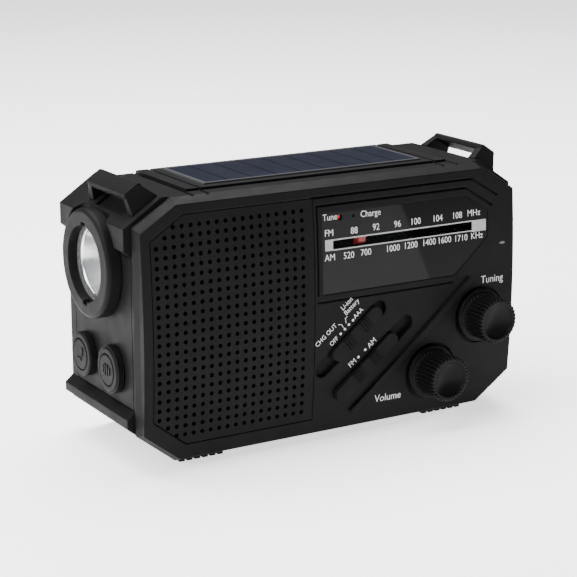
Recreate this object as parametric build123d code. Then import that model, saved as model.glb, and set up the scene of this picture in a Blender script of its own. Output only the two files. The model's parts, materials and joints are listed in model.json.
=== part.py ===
from build123d import *
from math import acos, asin, atan, cos, degrees, pi, radians, sin, sqrt, tan
import os

# A crank and solar emergency radio. Millimetres. +X right, +Z up, front faces -Y.
# The origin is under the middle of the whole object, on the surface it stands on.

# ---- case -------------------------------------------------------------------
case_half_width = 81.5      # front ring, centre to side
case_height = 98.0          # case without its feet
case_depth = 63.0           # middle of the crowned front to the back face
bumper_half_width = 84.0    # shoulders and bumpers stand out this far
feet_height = 1.8
wall = 2.5
crown_radius = 423.0        # the front is a shallow cylinder lying along X
top_chamfer = (15.4, 9.6)   # corner cut of the ring: along X, along Z
bottom_chamfer = (15.4, 12.0)
shoulder_chamfer = (14.9, 9.9)
bumper_chamfer = (18.0, 14.7)
rim_inset = (0.6, 1.9)      # front rim is this much smaller than the case
rim_bevel_depth = 4.1
bumper_start = 8.5          # bumpers start this far behind the front
ledge_drop = 2.7            # sloping ledge over each bumper
bumper_top = 22.4           # top of the lower bumper's ledge
shoulder_bottom = 79.2      # bottom of the shoulder's ledge
seam_from_front = 35.0
fit_gap = 0.3
shaft_gap = 0.05

# ---- controls ---------------------------------------------------------------
knob_height = 12.4
knob_skirt_radius = 10.5
knob_skirt_height = 2.4
knob_cap_radius = 8.8
knob_flutes = 36
knob_shaft_radius = 3.0
tuning_at = (65.0, 40.3)
volume_at = (42.8, 20.4)
switch_angle = 39.5
slot_width = 6.4
slider_gap = 0.35
power_slot = ((-6.8, 28.9), (17.9, 49.2))
band_slot = ((1.7, 18.3), (30.2, 41.9))
power_slider_at = (7.9, 40.9)
power_slider_length = 26.6
band_slider_at = (12.4, 27.1)
band_slider_length = 34.0
slider_stem = (6.0, 2.0)
slot_depth = 2.6
power_travel = (4.9, 2.5)   # back and forward of the stored position
band_travel = 4.0

# ---- dial -------------------------------------------------------------------
dial_left = -7.0
dial_right = 68.6
dial_bottom = 57.6
dial_top = 88.2
dial_top_cut = (10.4, 6.9)
dial_bottom_cut = (15.8, 13.8)
scale_window = (-2.3, 61.0, 74.6, 77.8)
pointer_at = 11.4
pointer_width = 5.0
lamp_spots = ((1.0, 1.0), (7.0, 0.7))   # place along X, radius
lamp_z = 86.0
drum_radius = 9.0
pulley_radius = 3.0
pulley_pin_radius = 1.0
pulley_spots = ((-2.0, 80.0), (62.5, 80.0))
cord_gap = 0.3
cord_size = 0.5

# ---- speaker grille ---------------------------------------------------------
grille_pitch = 3.5
grille_hole_radius = 0.85
grille_columns = 18
grille_rows = 23
grille_centre = (-45.15, 51.8)
grille_left = -77.35
grille_right = -10.4
grille_bottom = 9.2
grille_top = 94.4
grille_cut = 13.4
speaker_radius = 28.5

# ---- torch and side buttons -------------------------------------------------
torch_from_front = 36.8
torch_z = 72.0
torch_face = 86.5          # centre of the case to the bezel's face
torch_radius = 20.3
torch_bore = 14.2
torch_tube_radius = 15.0
reflector_depth = 19.0
side_panel_thickness = 2.4
button_z = 34.5
button_from_front = (48.0, 25.0)
button_collar_radius = 8.4
button_cap_radius = 5.9

# ---- top --------------------------------------------------------------------
deck_half_width = 57.5
deck_rise = 0.9
deck_slot_x = (51.2, 57.5)
deck_slot_width = 1.1
solar_half_width = 47.3
solar_front = 17.0          # from the front
solar_back = 50.5
solar_proud = 0.6
bracket_front = 11.5        # from the front
bracket_back = 47.7
bracket_rise = 4.9          # clear height under the bar
bracket_thickness = 2.6
bracket_width = 7.6
bracket_foot_width = 11.8
bracket_middle = 73.8
bracket_leg_slope = 2.4
bracket_pocket = 1.6

# ---- antenna ----------------------------------------------------------------
antenna_pivot_x = -55.0
antenna_z = 93.6
antenna_shelf = 88.6        # the case steps in above this height at the back
antenna_shelf_depth = 9.0
antenna_shelf_half_width = 66.0
antenna_radius = 3.0
antenna_wall = 0.5
antenna_length = 104.0
antenna_step = 0.8          # each section is this much smaller in radius

# ---- crank and generator ----------------------------------------------------
crank_at = (32.0, 50.0)
crank_recess_radius = 38.5
crank_recess_depth = 10.0
crank_arm_reach = 36.0
crank_arm_width = 17.0
crank_arm_thickness = 9.0
crank_shaft_radius = 3.0
grip_radius = 4.2
grip_length = 17.0
grip_neck = 0.3              # bare spindle between the arm's face and the swung-out grip
grip_window = (10.4, 22.0)
first_module = 0.8
second_module = 0.6
wheel_teeth = 56
pinion_teeth = 14
idler_angle = 45.0
generator_angle = -60.0
generator_radius = 11.0

# ---- power ------------------------------------------------------------------
bay = (-65.0, -15.5, 10.0, 47.0)   # battery bay: x, x, z, z
bay_depth = 15.5
aaa_radius = 5.25
aaa_length = 44.5
lithium_radius = 9.0
lithium_length = 50.0
door_thickness = 2.0
door_gap = 0.4
usb_flap = (24.4, 14.0)     # along Y, along Z
usb_z = 33.0
usb_from_front = 38.2

screw_radius = 1.25
screw_head_radius = 3.0
screw_boss_radius = 3.3
screw_spots = ((-73.0, 18.0), (-50.0, 84.2), (73.5, 80.0), (73.5, 22.0), (-8.0, 13.0), (-14.0, 84.2))

# ---- positions that follow --------------------------------------------------
crank_proud = 1.0
middle_shift = (torch_face - bumper_half_width) / 2   # brings the whole object's middle to X = 0
front = -(case_depth + crank_proud - knob_height) / 2
back = front + case_depth
case_bottom = feet_height
case_top = feet_height + case_height
case_middle = feet_height + case_height / 2
seam = front + seam_from_front
side_face = case_half_width - 0.7
wall_back = front + 6.4     # inner side of the front wall
seat = front + 4.4          # floor of the grille's seat
deck_top = case_top + deck_rise
torch_y = front + torch_from_front
board_front = front + 24.4
os.makedirs("parts", exist_ok=True)


# ---- shape helpers ----------------------------------------------------------
def block(x0, x1, y0, y1, z0, z1):
    """Box between two corners."""
    return Pos((x0 + x1) / 2, (y0 + y1) / 2, (z0 + z1) / 2) * Box(x1 - x0, y1 - y0, z1 - z0)


def rod_x(y, z, radius, x0, x1):
    """Round bar along X."""
    return Pos((x0 + x1) / 2, y, z) * Rot(0, 90, 0) * Cylinder(radius, x1 - x0)


def rod_y(x, z, radius, y0, y1):
    """Round bar along Y."""
    return Pos(x, (y0 + y1) / 2, z) * Rot(90, 0, 0) * Cylinder(radius, y1 - y0)


def rod_z(x, y, radius, z0, z1):
    """Round bar along Z."""
    return Pos(x, y, (z0 + z1) / 2) * Cylinder(radius, z1 - z0)


def outline_face(points, y):
    """Flat face in the plane at y, from (x, z) points."""
    return make_face(Polyline(*[(x, y, z) for x, z in points], close=True))


def slab(points, y0, y1):
    """Outline of (x, z) points carried along Y."""
    return extrude(outline_face(points, y0), amount=y1 - y0, dir=(0, 1, 0))


def case_outline(dx=0.0, dz=0.0):
    """Eight corners of the case seen from the front, made smaller by dx and dz."""
    w = case_half_width - dx
    low = case_bottom + dz
    high = case_top - dz
    tx, tz = top_chamfer
    bx, bz = bottom_chamfer
    slack = (dx + dz) / 4
    return [(-w, low + bz - slack), (-w + bx - slack, low), (w - bx + slack, low), (w, low + bz - slack),
            (w, high - tz + slack), (w - tx + slack, high), (-w + tx - slack, high), (-w, high - tz + slack)]


def crowned(depth=0.0):
    """Everything behind the crowned front face, moved back by depth."""
    radius = crown_radius - depth
    return rod_x(front + crown_radius, case_middle, radius, -2 * bumper_half_width, 2 * bumper_half_width)


def crown_y(z):
    """Where the crowned front lies at a height."""
    return front + crown_radius - sqrt(crown_radius ** 2 - (z - case_middle) ** 2)


def obround(centre, angle, length, width, y0, y1):
    """Long round-ended plate in the front plane, turned by angle."""
    bar = extrude(SlotOverall(length, width), amount=y1 - y0)
    return Pos(centre[0], y1, centre[1]) * Rot(90, 0, 0) * Rot(0, 0, angle) * bar


def turned(solid, centre, angle):
    """Turn a solid about the line through centre along Y, from +X towards +Z."""
    return Pos(centre[0], 0, centre[1]) * Rot(0, -angle, 0) * Pos(-centre[0], 0, -centre[1]) * solid


def involute_angle(radius, base):
    """Angle of the involute at a radius."""
    slope = acos(min(1.0, base / radius))
    return tan(slope) - slope


def gear(teeth, module, bore, thickness, turn=0.0, backlash=0.16):
    """Spur gear with stub involute teeth, its first tooth centred on +X turned by turn degrees."""
    pitch = teeth * module / 2
    base = pitch * cos(radians(20))
    tip = pitch + 0.72 * module
    root = pitch - 1.0 * module
    half_tooth = pi / (2 * teeth) - backlash / (2 * pitch)
    half_base = half_tooth + involute_angle(pitch, base)
    start = max(base, root)
    radii = [start + (tip - start) * step / 5 for step in range(6)]
    flank = [(r, half_base - involute_angle(r, base)) for r in radii]
    points = []
    for tooth in range(teeth):
        centre = radians(turn) + 2 * pi * tooth / teeth
        edge = [(root, -flank[0][1])] if root < base else []
        side = edge + [(r, -a) for r, a in flank]
        ring = side + [(r, -a) for r, a in reversed(side)]
        points += [(r * cos(centre + a), r * sin(centre + a)) for r, a in ring]
    shape = make_face(Polyline(*points, close=True)) - Circle(bore)
    return extrude(shape, amount=thickness)


def gear_at(spot, y, teeth, module, bore, thickness, turn=0.0):
    """Gear with its axis along Y at (x, z); the angle runs from +X towards +Z."""
    x, z = spot
    return Pos(x, y + thickness, z) * Rot(90, 0, 0) * gear(teeth, module, bore, thickness, turn)


# ---- case shells ------------------------------------------------------------
def bumper_band(y0, y1, grow=0.0):
    """Lower bumper: a prism along Y, wider than the case, with a sloping ledge."""
    w = bumper_half_width - grow
    low = case_bottom + grow
    face_top = bumper_top - ledge_drop
    cut_x, cut_z = bumper_chamfer
    half = [(w - cut_x, low), (w, low + cut_z), (w, face_top), (side_face - grow, bumper_top)]
    return slab(half + [(-x, z) for x, z in reversed(half)], y0, y1)


def shoulder_band(y0, y1, grow=0.0):
    """Upper shoulder: a prism along Y, wider than the case, with a sloping ledge under it."""
    w = bumper_half_width - grow
    high = case_top - grow
    cut_x, cut_z = shoulder_chamfer
    half = [(w - cut_x, high), (w, high - cut_z), (w, shoulder_bottom + ledge_drop),
            (side_face - grow, shoulder_bottom)]
    return slab(half + [(-x, z) for x, z in reversed(half)], y0, y1)


def chamfer_plane_height(x):
    """Height of the shoulder's sloping top at a distance from the middle."""
    run, drop = shoulder_chamfer
    return case_top - (abs(x) - bumper_half_width + run) * drop / run


def case_solid():
    """Whole outside of the case, before it is hollowed and split."""
    rim = slab(case_outline(*rim_inset), front - 1, front + 3) & crowned()
    loft_back = front + 3 + rim_bevel_depth
    small = outline_face(case_outline(*rim_inset), front + 3)
    large = outline_face(case_outline(), loft_back)
    bevel = loft([small, large])
    core = slab(case_outline(case_half_width - side_face, 0.0), loft_back, back)
    start = front + bumper_start
    solid = rim + bevel + core
    solid += bumper_band(start, back)
    solid += shoulder_band(start, back)
    return solid


def torch_notch():
    """Round pocket in the shoulder that leaves room around the torch bezel."""
    return rod_x(torch_y, torch_z, torch_radius + 2.4, -bumper_half_width - 5, -side_face)


def torch_bore_cut():
    """Bore in the side walls for the bezel's tube and the reflector."""
    return rod_x(torch_y, torch_z, torch_tube_radius + fit_gap, -side_face - 1, -side_face + reflector_depth + 2)


def bracket_pocket_solid(side):
    """Hollow in the sloping shoulder under a strap bracket."""
    inner = bumper_half_width - shoulder_chamfer[0] + 0.9
    outer = bracket_middle + bracket_width * 0.75
    y0 = front + bracket_front + bracket_leg_slope + bracket_thickness + 2.0
    y1 = front + bracket_back - bracket_leg_slope - bracket_thickness - 2.0
    z_in = chamfer_plane_height(inner)
    z_out = chamfer_plane_height(outer)
    points = [(inner, z_in - bracket_pocket), (outer, z_out - bracket_pocket), (outer, z_out + 12),
              (inner, z_in + 12)]
    return slab([(side * x, z) for x, z in points], y0, y1)


def hollow_solid():
    """Inside of the case."""
    edge = wall
    inner = slab(case_outline(case_half_width - side_face + edge, edge), wall_back, back - edge)
    shelf = block(-100, 100, back - antenna_shelf_depth - edge, back, antenna_shelf - edge, case_top)
    pocket = block(-100, 100, front, back, chamfer_plane_height(72.0) - bracket_pocket - edge - 4.5, case_top)
    sides = pocket - block(-62.0, 62.0, front, back, 0, case_top + 1)
    return inner - shelf - sides


def shelf_cut():
    """Step along the top of the back where the antenna lies, open at its right end."""
    left = -antenna_shelf_half_width
    right = bumper_half_width + 5
    return block(left, right, back - antenna_shelf_depth, back + 5, antenna_shelf, case_top + 10)


def solar_seat():
    """Pocket in the roof that takes the solar frame."""
    return block(-deck_half_width + 0.6, deck_half_width - 0.6, front + solar_front - 4.0,
                 back - antenna_shelf_depth + 5, case_top - 1.2, case_top + 10)


def side_window():
    """Opening in the left wall that takes the side panel."""
    y0 = front + bumper_start + 1.0
    y1 = back - 5.0
    return block(-side_face - 1, -side_face + wall + 2, y0, y1, bumper_top, shoulder_bottom)


def usb_pocket():
    """Opening in the right wall behind the rubber flap."""
    y, z = front + usb_from_front, usb_z
    a, b = usb_flap[0] / 2 + door_gap, usb_flap[1] / 2 + door_gap
    return block(side_face - wall - 1, side_face + 2, y - a, y + a, z - b, z + b)


def dial_outline(inset=0.0):
    """Outline of the dial window, made smaller by inset."""
    left, right = dial_left + inset, dial_right - inset
    low, high = dial_bottom + inset, dial_top - inset
    tx, tz = dial_top_cut
    bx, bz = dial_bottom_cut
    slack = inset * 0.45
    return [(left, low), (right - bx + slack, low), (right, low + bz - slack),
            (right, high - tz + slack), (right - tx + slack, high), (left, high)]


def grille_outline(inset=0.0):
    """Outline of the speaker grille, with its two left corners cut."""
    left, right = grille_left + inset, grille_right - inset
    low, high = grille_bottom + inset, grille_top - inset
    cut_x = grille_cut - inset * 0.4
    cut_z = cut_x * top_chamfer[1] / top_chamfer[0]
    low_z = cut_x * bottom_chamfer[1] / bottom_chamfer[0]
    return [(left, low + low_z), (left + cut_x, low), (right, low), (right, high), (left + cut_x, high),
            (left, high - cut_z)]


def groove(points, width=0.8, depth=0.9):
    """Narrow line cut into the crowned front along straight runs."""
    cut = None
    for (x0, z0), (x1, z1) in zip(points, points[1:]):
        run = sqrt((x1 - x0) ** 2 + (z1 - z0) ** 2)
        angle = degrees(asin((z1 - z0) / run))
        bar = obround(((x0 + x1) / 2, (z0 + z1) / 2), angle, run + width, width, front - 2, front + 8)
        cut = bar if cut is None else cut + bar
    return cut - crowned(depth)


def rib_solid():
    """Raised diagonal bar between the switches and the knobs."""
    ends = ((60.2, 55.4), (6.6, 9.4))
    middle = ((ends[0][0] + ends[1][0]) / 2, (ends[0][1] + ends[1][1]) / 2)
    dx, dz = ends[0][0] - ends[1][0], ends[0][1] - ends[1][1]
    length = sqrt(dx ** 2 + dz ** 2)
    bar = block(middle[0] - length / 2, middle[0] + length / 2, front - 3, front + 4, middle[1] - 1.2,
                middle[1] + 1.2)
    return turned(bar, middle, degrees(asin(dz / length))) & crowned(-1.3)


def slot_centre(ends):
    """Middle of a slot from its two end centres."""
    return ((ends[0][0] + ends[1][0]) / 2, (ends[0][1] + ends[1][1]) / 2)


def slot_length(ends):
    """Overall length of a slot from its two end centres."""
    return sqrt((ends[1][0] - ends[0][0]) ** 2 + (ends[1][1] - ends[0][1]) ** 2) + slot_width


def switch_cut(ends, slider_at, travel):
    """Sunken track for a slider, and the narrow slot that its stem runs in."""
    floor = front + slot_depth
    cut = obround(slot_centre(ends), switch_angle, slot_length(ends), slot_width, front - 2, floor)
    middle = (travel[1] - travel[0]) / 2
    spot = (slider_at[0] + middle * cos(radians(switch_angle)), slider_at[1] + middle * sin(radians(switch_angle)))
    run = travel[0] + travel[1] + slider_stem[0] + 1.2
    stem = block(spot[0] - run / 2, spot[0] + run / 2, front, wall_back + 1, spot[1] - slider_stem[1] / 2 - 0.5,
                 spot[1] + slider_stem[1] / 2 + 0.5)
    return cut + turned(stem, spot, switch_angle)


def front_housing():
    """Front shell: ring, front wall, switch tracks, dial window and screw bosses."""
    shell = (case_solid() - hollow_solid()) & block(-200, 200, front - 5, seam, -5, 200)
    shell += rib_solid()
    for x, z in screw_spots:
        shell += rod_y(x, z, screw_boss_radius, wall_back - 0.5, seam)
    shell -= slab(grille_outline(), front - 2, seat)
    shell -= rod_y(grille_centre[0], grille_centre[1], speaker_radius - 2.5, front, wall_back + 1)
    shell -= slab(dial_outline(), front - 2, front + 4.0)
    shell -= slab(dial_outline(2.5), front, wall_back + 1)
    shell -= switch_cut(power_slot, power_slider_at, power_travel)
    shell -= switch_cut(band_slot, band_slider_at, (0.0, band_travel))
    for x, z in (tuning_at, volume_at):
        shell -= rod_y(x, z, knob_skirt_radius + 0.9, front - 2, crown_y(z) + 1.0)
        shell -= rod_y(x, z, knob_shaft_radius + fit_gap, front - 2, wall_back + 1)
    shell -= groove([(grille_right - 0.6, grille_top), (61.6, grille_top), (73.0, grille_top - 7.3)])
    shell -= groove([(dial_left - 2.0, 58.0), (dial_left - 2.0, 91.2), (58.4, 91.2), (70.5, 83.4)])
    shell -= groove([(dial_left - 2.0, dial_bottom - 2.6), (51.5, dial_bottom - 2.6)], 0.6, 0.5)
    for x, radius in lamp_spots:
        shell -= rod_y(x, lamp_z, radius + 0.4, front, wall_back + 1)
    for x, z in screw_spots:
        shell -= rod_y(x, z, screw_radius + shaft_gap, seam - 9.0, seam + 1)
    shell -= torch_notch()
    shell -= torch_bore_cut()
    shell -= side_window()
    shell -= usb_pocket()
    shell -= bracket_pocket_solid(1) + bracket_pocket_solid(-1)
    shell -= solar_seat()
    shell -= deck_slots()
    return shell


def deck_slots():
    """Two drain slots across the roof at each end of the deck."""
    cut = None
    for x in (-deck_slot_x[1], -deck_slot_x[0], deck_slot_x[0], deck_slot_x[1]):
        bar = block(x - deck_slot_width / 2, x + deck_slot_width / 2, front + 6.5, back + 1, case_top - 1.2,
                    case_top + 10)
        cut = bar if cut is None else cut + bar
    return cut


def recess_floor():
    """Where the crank's recess ends."""
    return back - crank_recess_depth


def rear_housing():
    """Rear shell: crank recess, battery bay, antenna shelf and screw bosses."""
    shell = (case_solid() - hollow_solid()) & block(-200, 200, seam, back + 5, -5, 200)
    x, z = crank_at
    inner = recess_floor() - wall
    x0, x1, z0, z1 = bay
    bay_floor = back - bay_depth
    shell += rod_y(x, z, crank_recess_radius + 2.0, inner, back - 1)
    shell += block(x0 - 2, x1 + 2, bay_floor - 2, back - 1, z0 - 2, z1 + 2)
    for sx, sz in screw_spots:
        shell += rod_y(sx, sz, screw_boss_radius + 1.0, seam, back - 1)
    shell -= rod_y(x, z, crank_recess_radius, recess_floor(), back + 5)
    shell -= rod_y(x, z, crank_shaft_radius + shaft_gap, inner - 5, back)
    shell -= block(x0, x1, bay_floor, back + 5, z0, z1)
    idler = idler_spot()
    shell -= rod_y(idler[0], idler[1], 1.5 + shaft_gap, inner - 1, inner + 1.5)
    for sx, sz in screw_spots:
        shell -= rod_y(sx, sz, screw_radius + 0.25, seam - 1, back + 1)
        shell -= rod_y(sx, sz, screw_head_radius + 0.4, back - 5.0, back + 5)
    shell -= shelf_cut()
    shell -= rod_y(antenna_pivot_x, antenna_z, 2.0 + shaft_gap, back - antenna_shelf_depth - wall, back)
    shell -= torch_notch()
    shell -= torch_bore_cut()
    shell -= side_window()
    shell -= usb_pocket()
    shell -= bracket_pocket_solid(1) + bracket_pocket_solid(-1)
    shell -= solar_seat()
    shell -= deck_slots()
    hinge_z = z0 + door_gap + door_thickness / 2
    shell -= rod_x(back - door_thickness / 2, hinge_z, 0.8 + shaft_gap, x0 - 1.6, x1 + 1.6)
    return shell


def speaker_grille():
    """Perforated panel; the three holes nearest each cut corner are missing."""
    panel = slab(grille_outline(0.3), front - 1, seat) & crowned()
    left = grille_centre[0] - grille_pitch * (grille_columns - 1) / 2
    low = grille_centre[1] - grille_pitch * (grille_rows - 1) / 2
    spots = []
    for column in range(grille_columns):
        for row in range(grille_rows):
            if column + min(row, grille_rows - 1 - row) > 1:
                spots.append((left + column * grille_pitch, low + row * grille_pitch))
    holes = Sketch() + [Pos(x, z) * Circle(grille_hole_radius) for x, z in spots]
    drill = Pos(0, seat + 1, 0) * Rot(90, 0, 0) * extrude(holes, amount=8)
    return panel - drill


def dial_lens():
    """Clear window, its face a little below the crowned front."""
    return slab(dial_outline(0.15), front - 1, front + 3.2) & crowned(0.25)


def dial_plate():
    """Printed scale plate behind the window, open where the pointer shows."""
    plate = slab(dial_outline(0.15), front + 3.2, front + 4.0)
    x0, x1, z0, z1 = scale_window
    plate -= block(x0, x1, front, front + 10, z0, z1)
    for x, radius in lamp_spots:
        plate -= rod_y(x, lamp_z, radius + 0.1, front, front + 10)
    return plate


def indicator_lamps():
    """Tuning and charging lamps behind the window, standing on the board."""
    lamps = []
    for x, radius in lamp_spots:
        lamp = rod_y(x, lamp_z, radius, front + 3.3, front + 8.0)
        lamps.append(lamp + rod_y(x, lamp_z, radius + 0.5, front + 8.0, board_front))
    return Compound(children=lamps)


def tuning_pointer():
    """Pointer block seen in the scale window, with a clip under the dial cord."""
    x0, x1 = pointer_at - pointer_width / 2, pointer_at + pointer_width / 2
    z0, z1 = scale_window[2], scale_window[3]
    tip = block(x0, x1, front + 3.5, front + 5.5, z0 + 0.3, z1 - 0.3)
    cord_z = pulley_spots[0][1] + pulley_radius + cord_gap
    tab = block(x0, x1, front + 5.5, front + 7.4, z0 - 1.5, cord_z - 1.0)
    clip = block(x0 + 1.5, x1 - 1.5, front + 5.5, front + 9.2, cord_z - 1.2, cord_z - 0.1)
    return tip + tab + clip


def belt_face(extra):
    """Loop that wraps the drum and both pulleys, standing off them by extra."""
    circles = [Pos(x, z) * Circle(pulley_radius + extra) for x, z in pulley_spots]
    circles.append(Pos(*tuning_at) * Circle(drum_radius + extra))
    edges = [edge for circle in circles for edge in circle.edges()]
    return make_hull(edges)


def dial_cord():
    """Thin cord around the drum and the two pulleys."""
    ring = belt_face(cord_gap + cord_size) - belt_face(cord_gap)
    return Pos(0, front + 9.2, 0) * Rot(90, 0, 0) * extrude(ring, amount=cord_size)


def cord_pulley(spot):
    """Small grooved wheel on a fixed pin."""
    x, z = spot
    wheel = rod_y(x, z, pulley_radius, front + 7.6, front + 10.3)
    for y in (front + 7.6, front + 9.9):
        wheel += rod_y(x, z, pulley_radius + 1.0, y, y + 0.4)
    return wheel - rod_y(x, z, pulley_pin_radius + shaft_gap, front, front + 20)


def knob(spot):
    """Skirted knob with a fluted cap and a dished face."""
    x, z = spot
    base = crown_y(z) + 0.6
    top = front - knob_height
    skirt = rod_y(x, z, knob_skirt_radius, base - knob_skirt_height, base)
    skirt = chamfer(skirt.edges().group_by(Axis.Y)[0], 0.7)
    cap = rod_y(x, z, knob_cap_radius, top, base - knob_skirt_height)
    cap = chamfer(cap.edges().group_by(Axis.Y)[0], 0.6)
    flutes = None
    for index in range(knob_flutes):
        angle = 2 * pi * index / knob_flutes
        spot_x = x + (knob_cap_radius + 0.25) * cos(angle)
        spot_z = z + (knob_cap_radius + 0.25) * sin(angle)
        flute = rod_y(spot_x, spot_z, 0.6, top - 1, base - knob_skirt_height - 0.6)
        flutes = flute if flutes is None else flutes + flute
    dish_radius = 40.0
    dish = Pos(x, top + 1.1 - dish_radius, z) * Sphere(dish_radius)
    dish = dish & rod_y(x, z, knob_cap_radius - 1.5, top - 1, top + 5)
    return skirt + cap - flutes - dish - rod_y(x, z, knob_shaft_radius - 0.5, top + 5, base + 1)


def knob_shaft(spot, end):
    """Spindle from inside a knob to the part it turns."""
    x, z = spot
    base = crown_y(z) + 0.6
    top = front - knob_height
    return (rod_y(x, z, knob_shaft_radius - 0.5, top + 5, base)
            + rod_y(x, z, knob_shaft_radius, base, front + 8.0) + rod_y(x, z, 2.0, front + 8.0, end))


def tuning_spindle():
    """Tuning spindle with the grooved drum that pulls the dial cord."""
    x, z = tuning_at
    drum = rod_y(x, z, drum_radius, front + 8.0, front + 10.3)
    drum += rod_y(x, z, drum_radius + 1.0, front + 9.9, front + 10.3)
    drum += rod_y(x, z, drum_radius + 1.0, front + 7.6, front + 8.0)
    return drum + knob_shaft(tuning_at, front + 19.5)


def tuning_capacitor():
    """Variable capacitor that the tuning spindle turns."""
    x, z = tuning_at
    body = block(x - 9, x + 9, front + 12.0, front + 23.0, z - 9, z + 9)
    body += rod_y(x, z, 4.0, front + 11.0, front + 12.0)
    return body - rod_y(x, z, 2.0 + shaft_gap, front, front + 20)


def volume_control():
    """Rotary volume control."""
    x, z = volume_at
    body = rod_y(x, z, 8.0, front + 12.0, front + 18.0) + rod_y(x, z, 4.0, front + 9.0, front + 12.0)
    body += block(x - 6, x + 6, front + 18.0, board_front, z - 3, z + 3)
    return body - rod_y(x, z, 2.0 + shaft_gap, front, front + 16.5) - rod_y(x, z, 3.0 + fit_gap, front, front + 9.5)


def slider(centre, length):
    """Switch slider: round-ended plate with two groups of ribs and a stem."""
    top = front - 0.9
    plate = obround(centre, switch_angle, length, slot_width - 2 * slider_gap, top, front + slot_depth - 0.2)
    ribs = None
    for offset in (-6.4, -5.2, -4.0, -2.8, 2.8, 4.0, 5.2, 6.4):
        bar = block(centre[0] + offset - 0.3, centre[0] + offset + 0.3, top - 0.5, top, centre[1] - 2.6,
                    centre[1] + 2.6)
        ribs = bar if ribs is None else ribs + bar
    a, b = slider_stem
    stem = block(centre[0] - a / 2, centre[0] + a / 2, front + slot_depth - 0.2, front + 9.5, centre[1] - b / 2,
                 centre[1] + b / 2)
    return plate + turned(ribs + stem, centre, switch_angle)


def switch_body(centre, travel):
    """Slide switch behind the front wall, with the slot its lever runs in."""
    middle = (travel[1] - travel[0]) / 2
    spot = (centre[0] + middle * cos(radians(switch_angle)), centre[1] + middle * sin(radians(switch_angle)))
    run = (travel[0] + travel[1] + slider_stem[0]) / 2 + 0.6
    half = slider_stem[1] / 2 + 0.4
    body = block(spot[0] - run - 2.5, spot[0] + run + 2.5, wall_back + 1.0, front + 13.0, spot[1] - 3.5,
                 spot[1] + 3.5)
    body += block(spot[0] - run, spot[0] + run, front + 13.0, board_front, spot[1] - 2, spot[1] + 2)
    body -= block(spot[0] - run, spot[0] + run, wall_back, front + 10.0, spot[1] - half, spot[1] + half)
    return turned(body, spot, switch_angle)


def speaker_basket():
    """Speaker frame: flange, tapering basket and rear plate."""
    x, z = grille_centre
    y0 = wall_back
    flange = rod_y(x, z, speaker_radius, y0, y0 + 1.6) - rod_y(x, z, speaker_radius - 3.0, y0 - 1, y0 + 2)
    outer = Pos(x, y0 + 6.1, z) * Rot(-90, 0, 0) * Cone(speaker_radius - 2.0, 14.0, 9.0)
    inner = Pos(x, y0 + 6.0, z) * Rot(-90, 0, 0) * Cone(speaker_radius - 3.0, 13.0, 9.2)
    plate = rod_y(x, z, 14.0, y0 + 10.6, y0 + 12.0)
    basket = flange + outer - inner + plate
    return basket - rod_y(x, z, 6.0, y0 + 10, y0 + 13)


def speaker_cone():
    """Paper cone with its dust cap."""
    x, z = grille_centre
    y0 = wall_back
    outer = Pos(x, y0 + 4.2, z) * Rot(-90, 0, 0) * Cone(speaker_radius - 5.0, 8.0, 7.0)
    inner = Pos(x, y0 + 3.5, z) * Rot(-90, 0, 0) * Cone(speaker_radius - 5.0, 8.0, 7.0)
    cap = Pos(x, y0 + 11.0, z) * Sphere(9.0) & rod_y(x, z, 7.4, y0 + 1.9, y0 + 6.2)
    edge = rod_y(x, z, speaker_radius - 3.2, y0 + 0.3, y0 + 1.2) - rod_y(x, z, speaker_radius - 6.0, y0, y0 + 2)
    coil = rod_y(x, z, 5.8, y0 + 6.2, y0 + 11.6) - rod_y(x, z, 5.2, y0 + 6, y0 + 12)
    return outer - inner + cap + edge + rod_y(x, z, 8.3, y0 + 6.2, y0 + 7.6) + coil


def speaker_magnet():
    """Ring magnet behind the basket."""
    x, z = grille_centre
    return rod_y(x, z, 15.0, wall_back + 12.0, wall_back + 19.0)


def main_board():
    """Circuit board behind the dial and the controls, with its chips and the two pulley posts."""
    y0 = board_front
    board = block(-6.0, 68.0, y0, y0 + 1.6, 16.0, 90.0)
    for x, z in ((0.0, 18.5), (62.0, 87.0)):
        board -= rod_y(x, z, 1.3, y0 - 1, y0 + 3)
    y1 = y0 + 1.6
    for x0, x1, height, z0, z1 in ((6, 20, 1.6, 66, 76), (26, 34, 1.4, 24, 32), (8, 14, 1.2, 30, 36)):
        board += block(x0, x1, y1, y1 + height, z0, z1)
    for x, z in ((46, 82), (2, 40)):
        board += rod_y(x, z, 3.0, y1, y1 + 3.0)
    for x, z in pulley_spots:
        board += rod_y(x, z, pulley_pin_radius, front + 7.4, front + 11.0)
        board += rod_y(x, z, pulley_pin_radius + 1.2, front + 11.0, y0)
    return board


# ---- torch, buttons and siren -----------------------------------------------
def left_side_panel():
    """Flat panel set into the left side, drilled for the torch and the buttons."""
    y0 = front + bumper_start + 1.0 + fit_gap
    y1 = back - 5.0 - fit_gap
    outer = -side_face
    panel = block(outer, outer + side_panel_thickness, y0, y1, bumper_top + fit_gap, shoulder_bottom - fit_gap)
    panel -= rod_x(torch_y, torch_z, torch_tube_radius + fit_gap, outer - 1, outer + 5)
    for offset in button_from_front:
        panel -= rod_x(front + offset, button_z, button_cap_radius + fit_gap, outer - 1, outer + 5)
    return panel


def torch_bezel():
    """Wide ring around the torch, with a tube that holds the reflector."""
    face = -torch_face
    inner = -side_face
    ring = rod_x(torch_y, torch_z, torch_radius, face, inner - 0.2)
    ring = fillet(ring.edges().group_by(Axis.X)[0], 1.6)
    tube = rod_x(torch_y, torch_z, torch_tube_radius, inner - 0.2, inner + 4.5)
    ring = ring + tube - rod_x(torch_y, torch_z, torch_bore, face - 1, inner + 10)
    for z in (torch_z + torch_bore, torch_z - torch_bore):
        ring -= block(face - 1, face + 2.5, torch_y - 1.8, torch_y + 1.8, z - 1.2, z + 1.2)
    return ring


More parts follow.
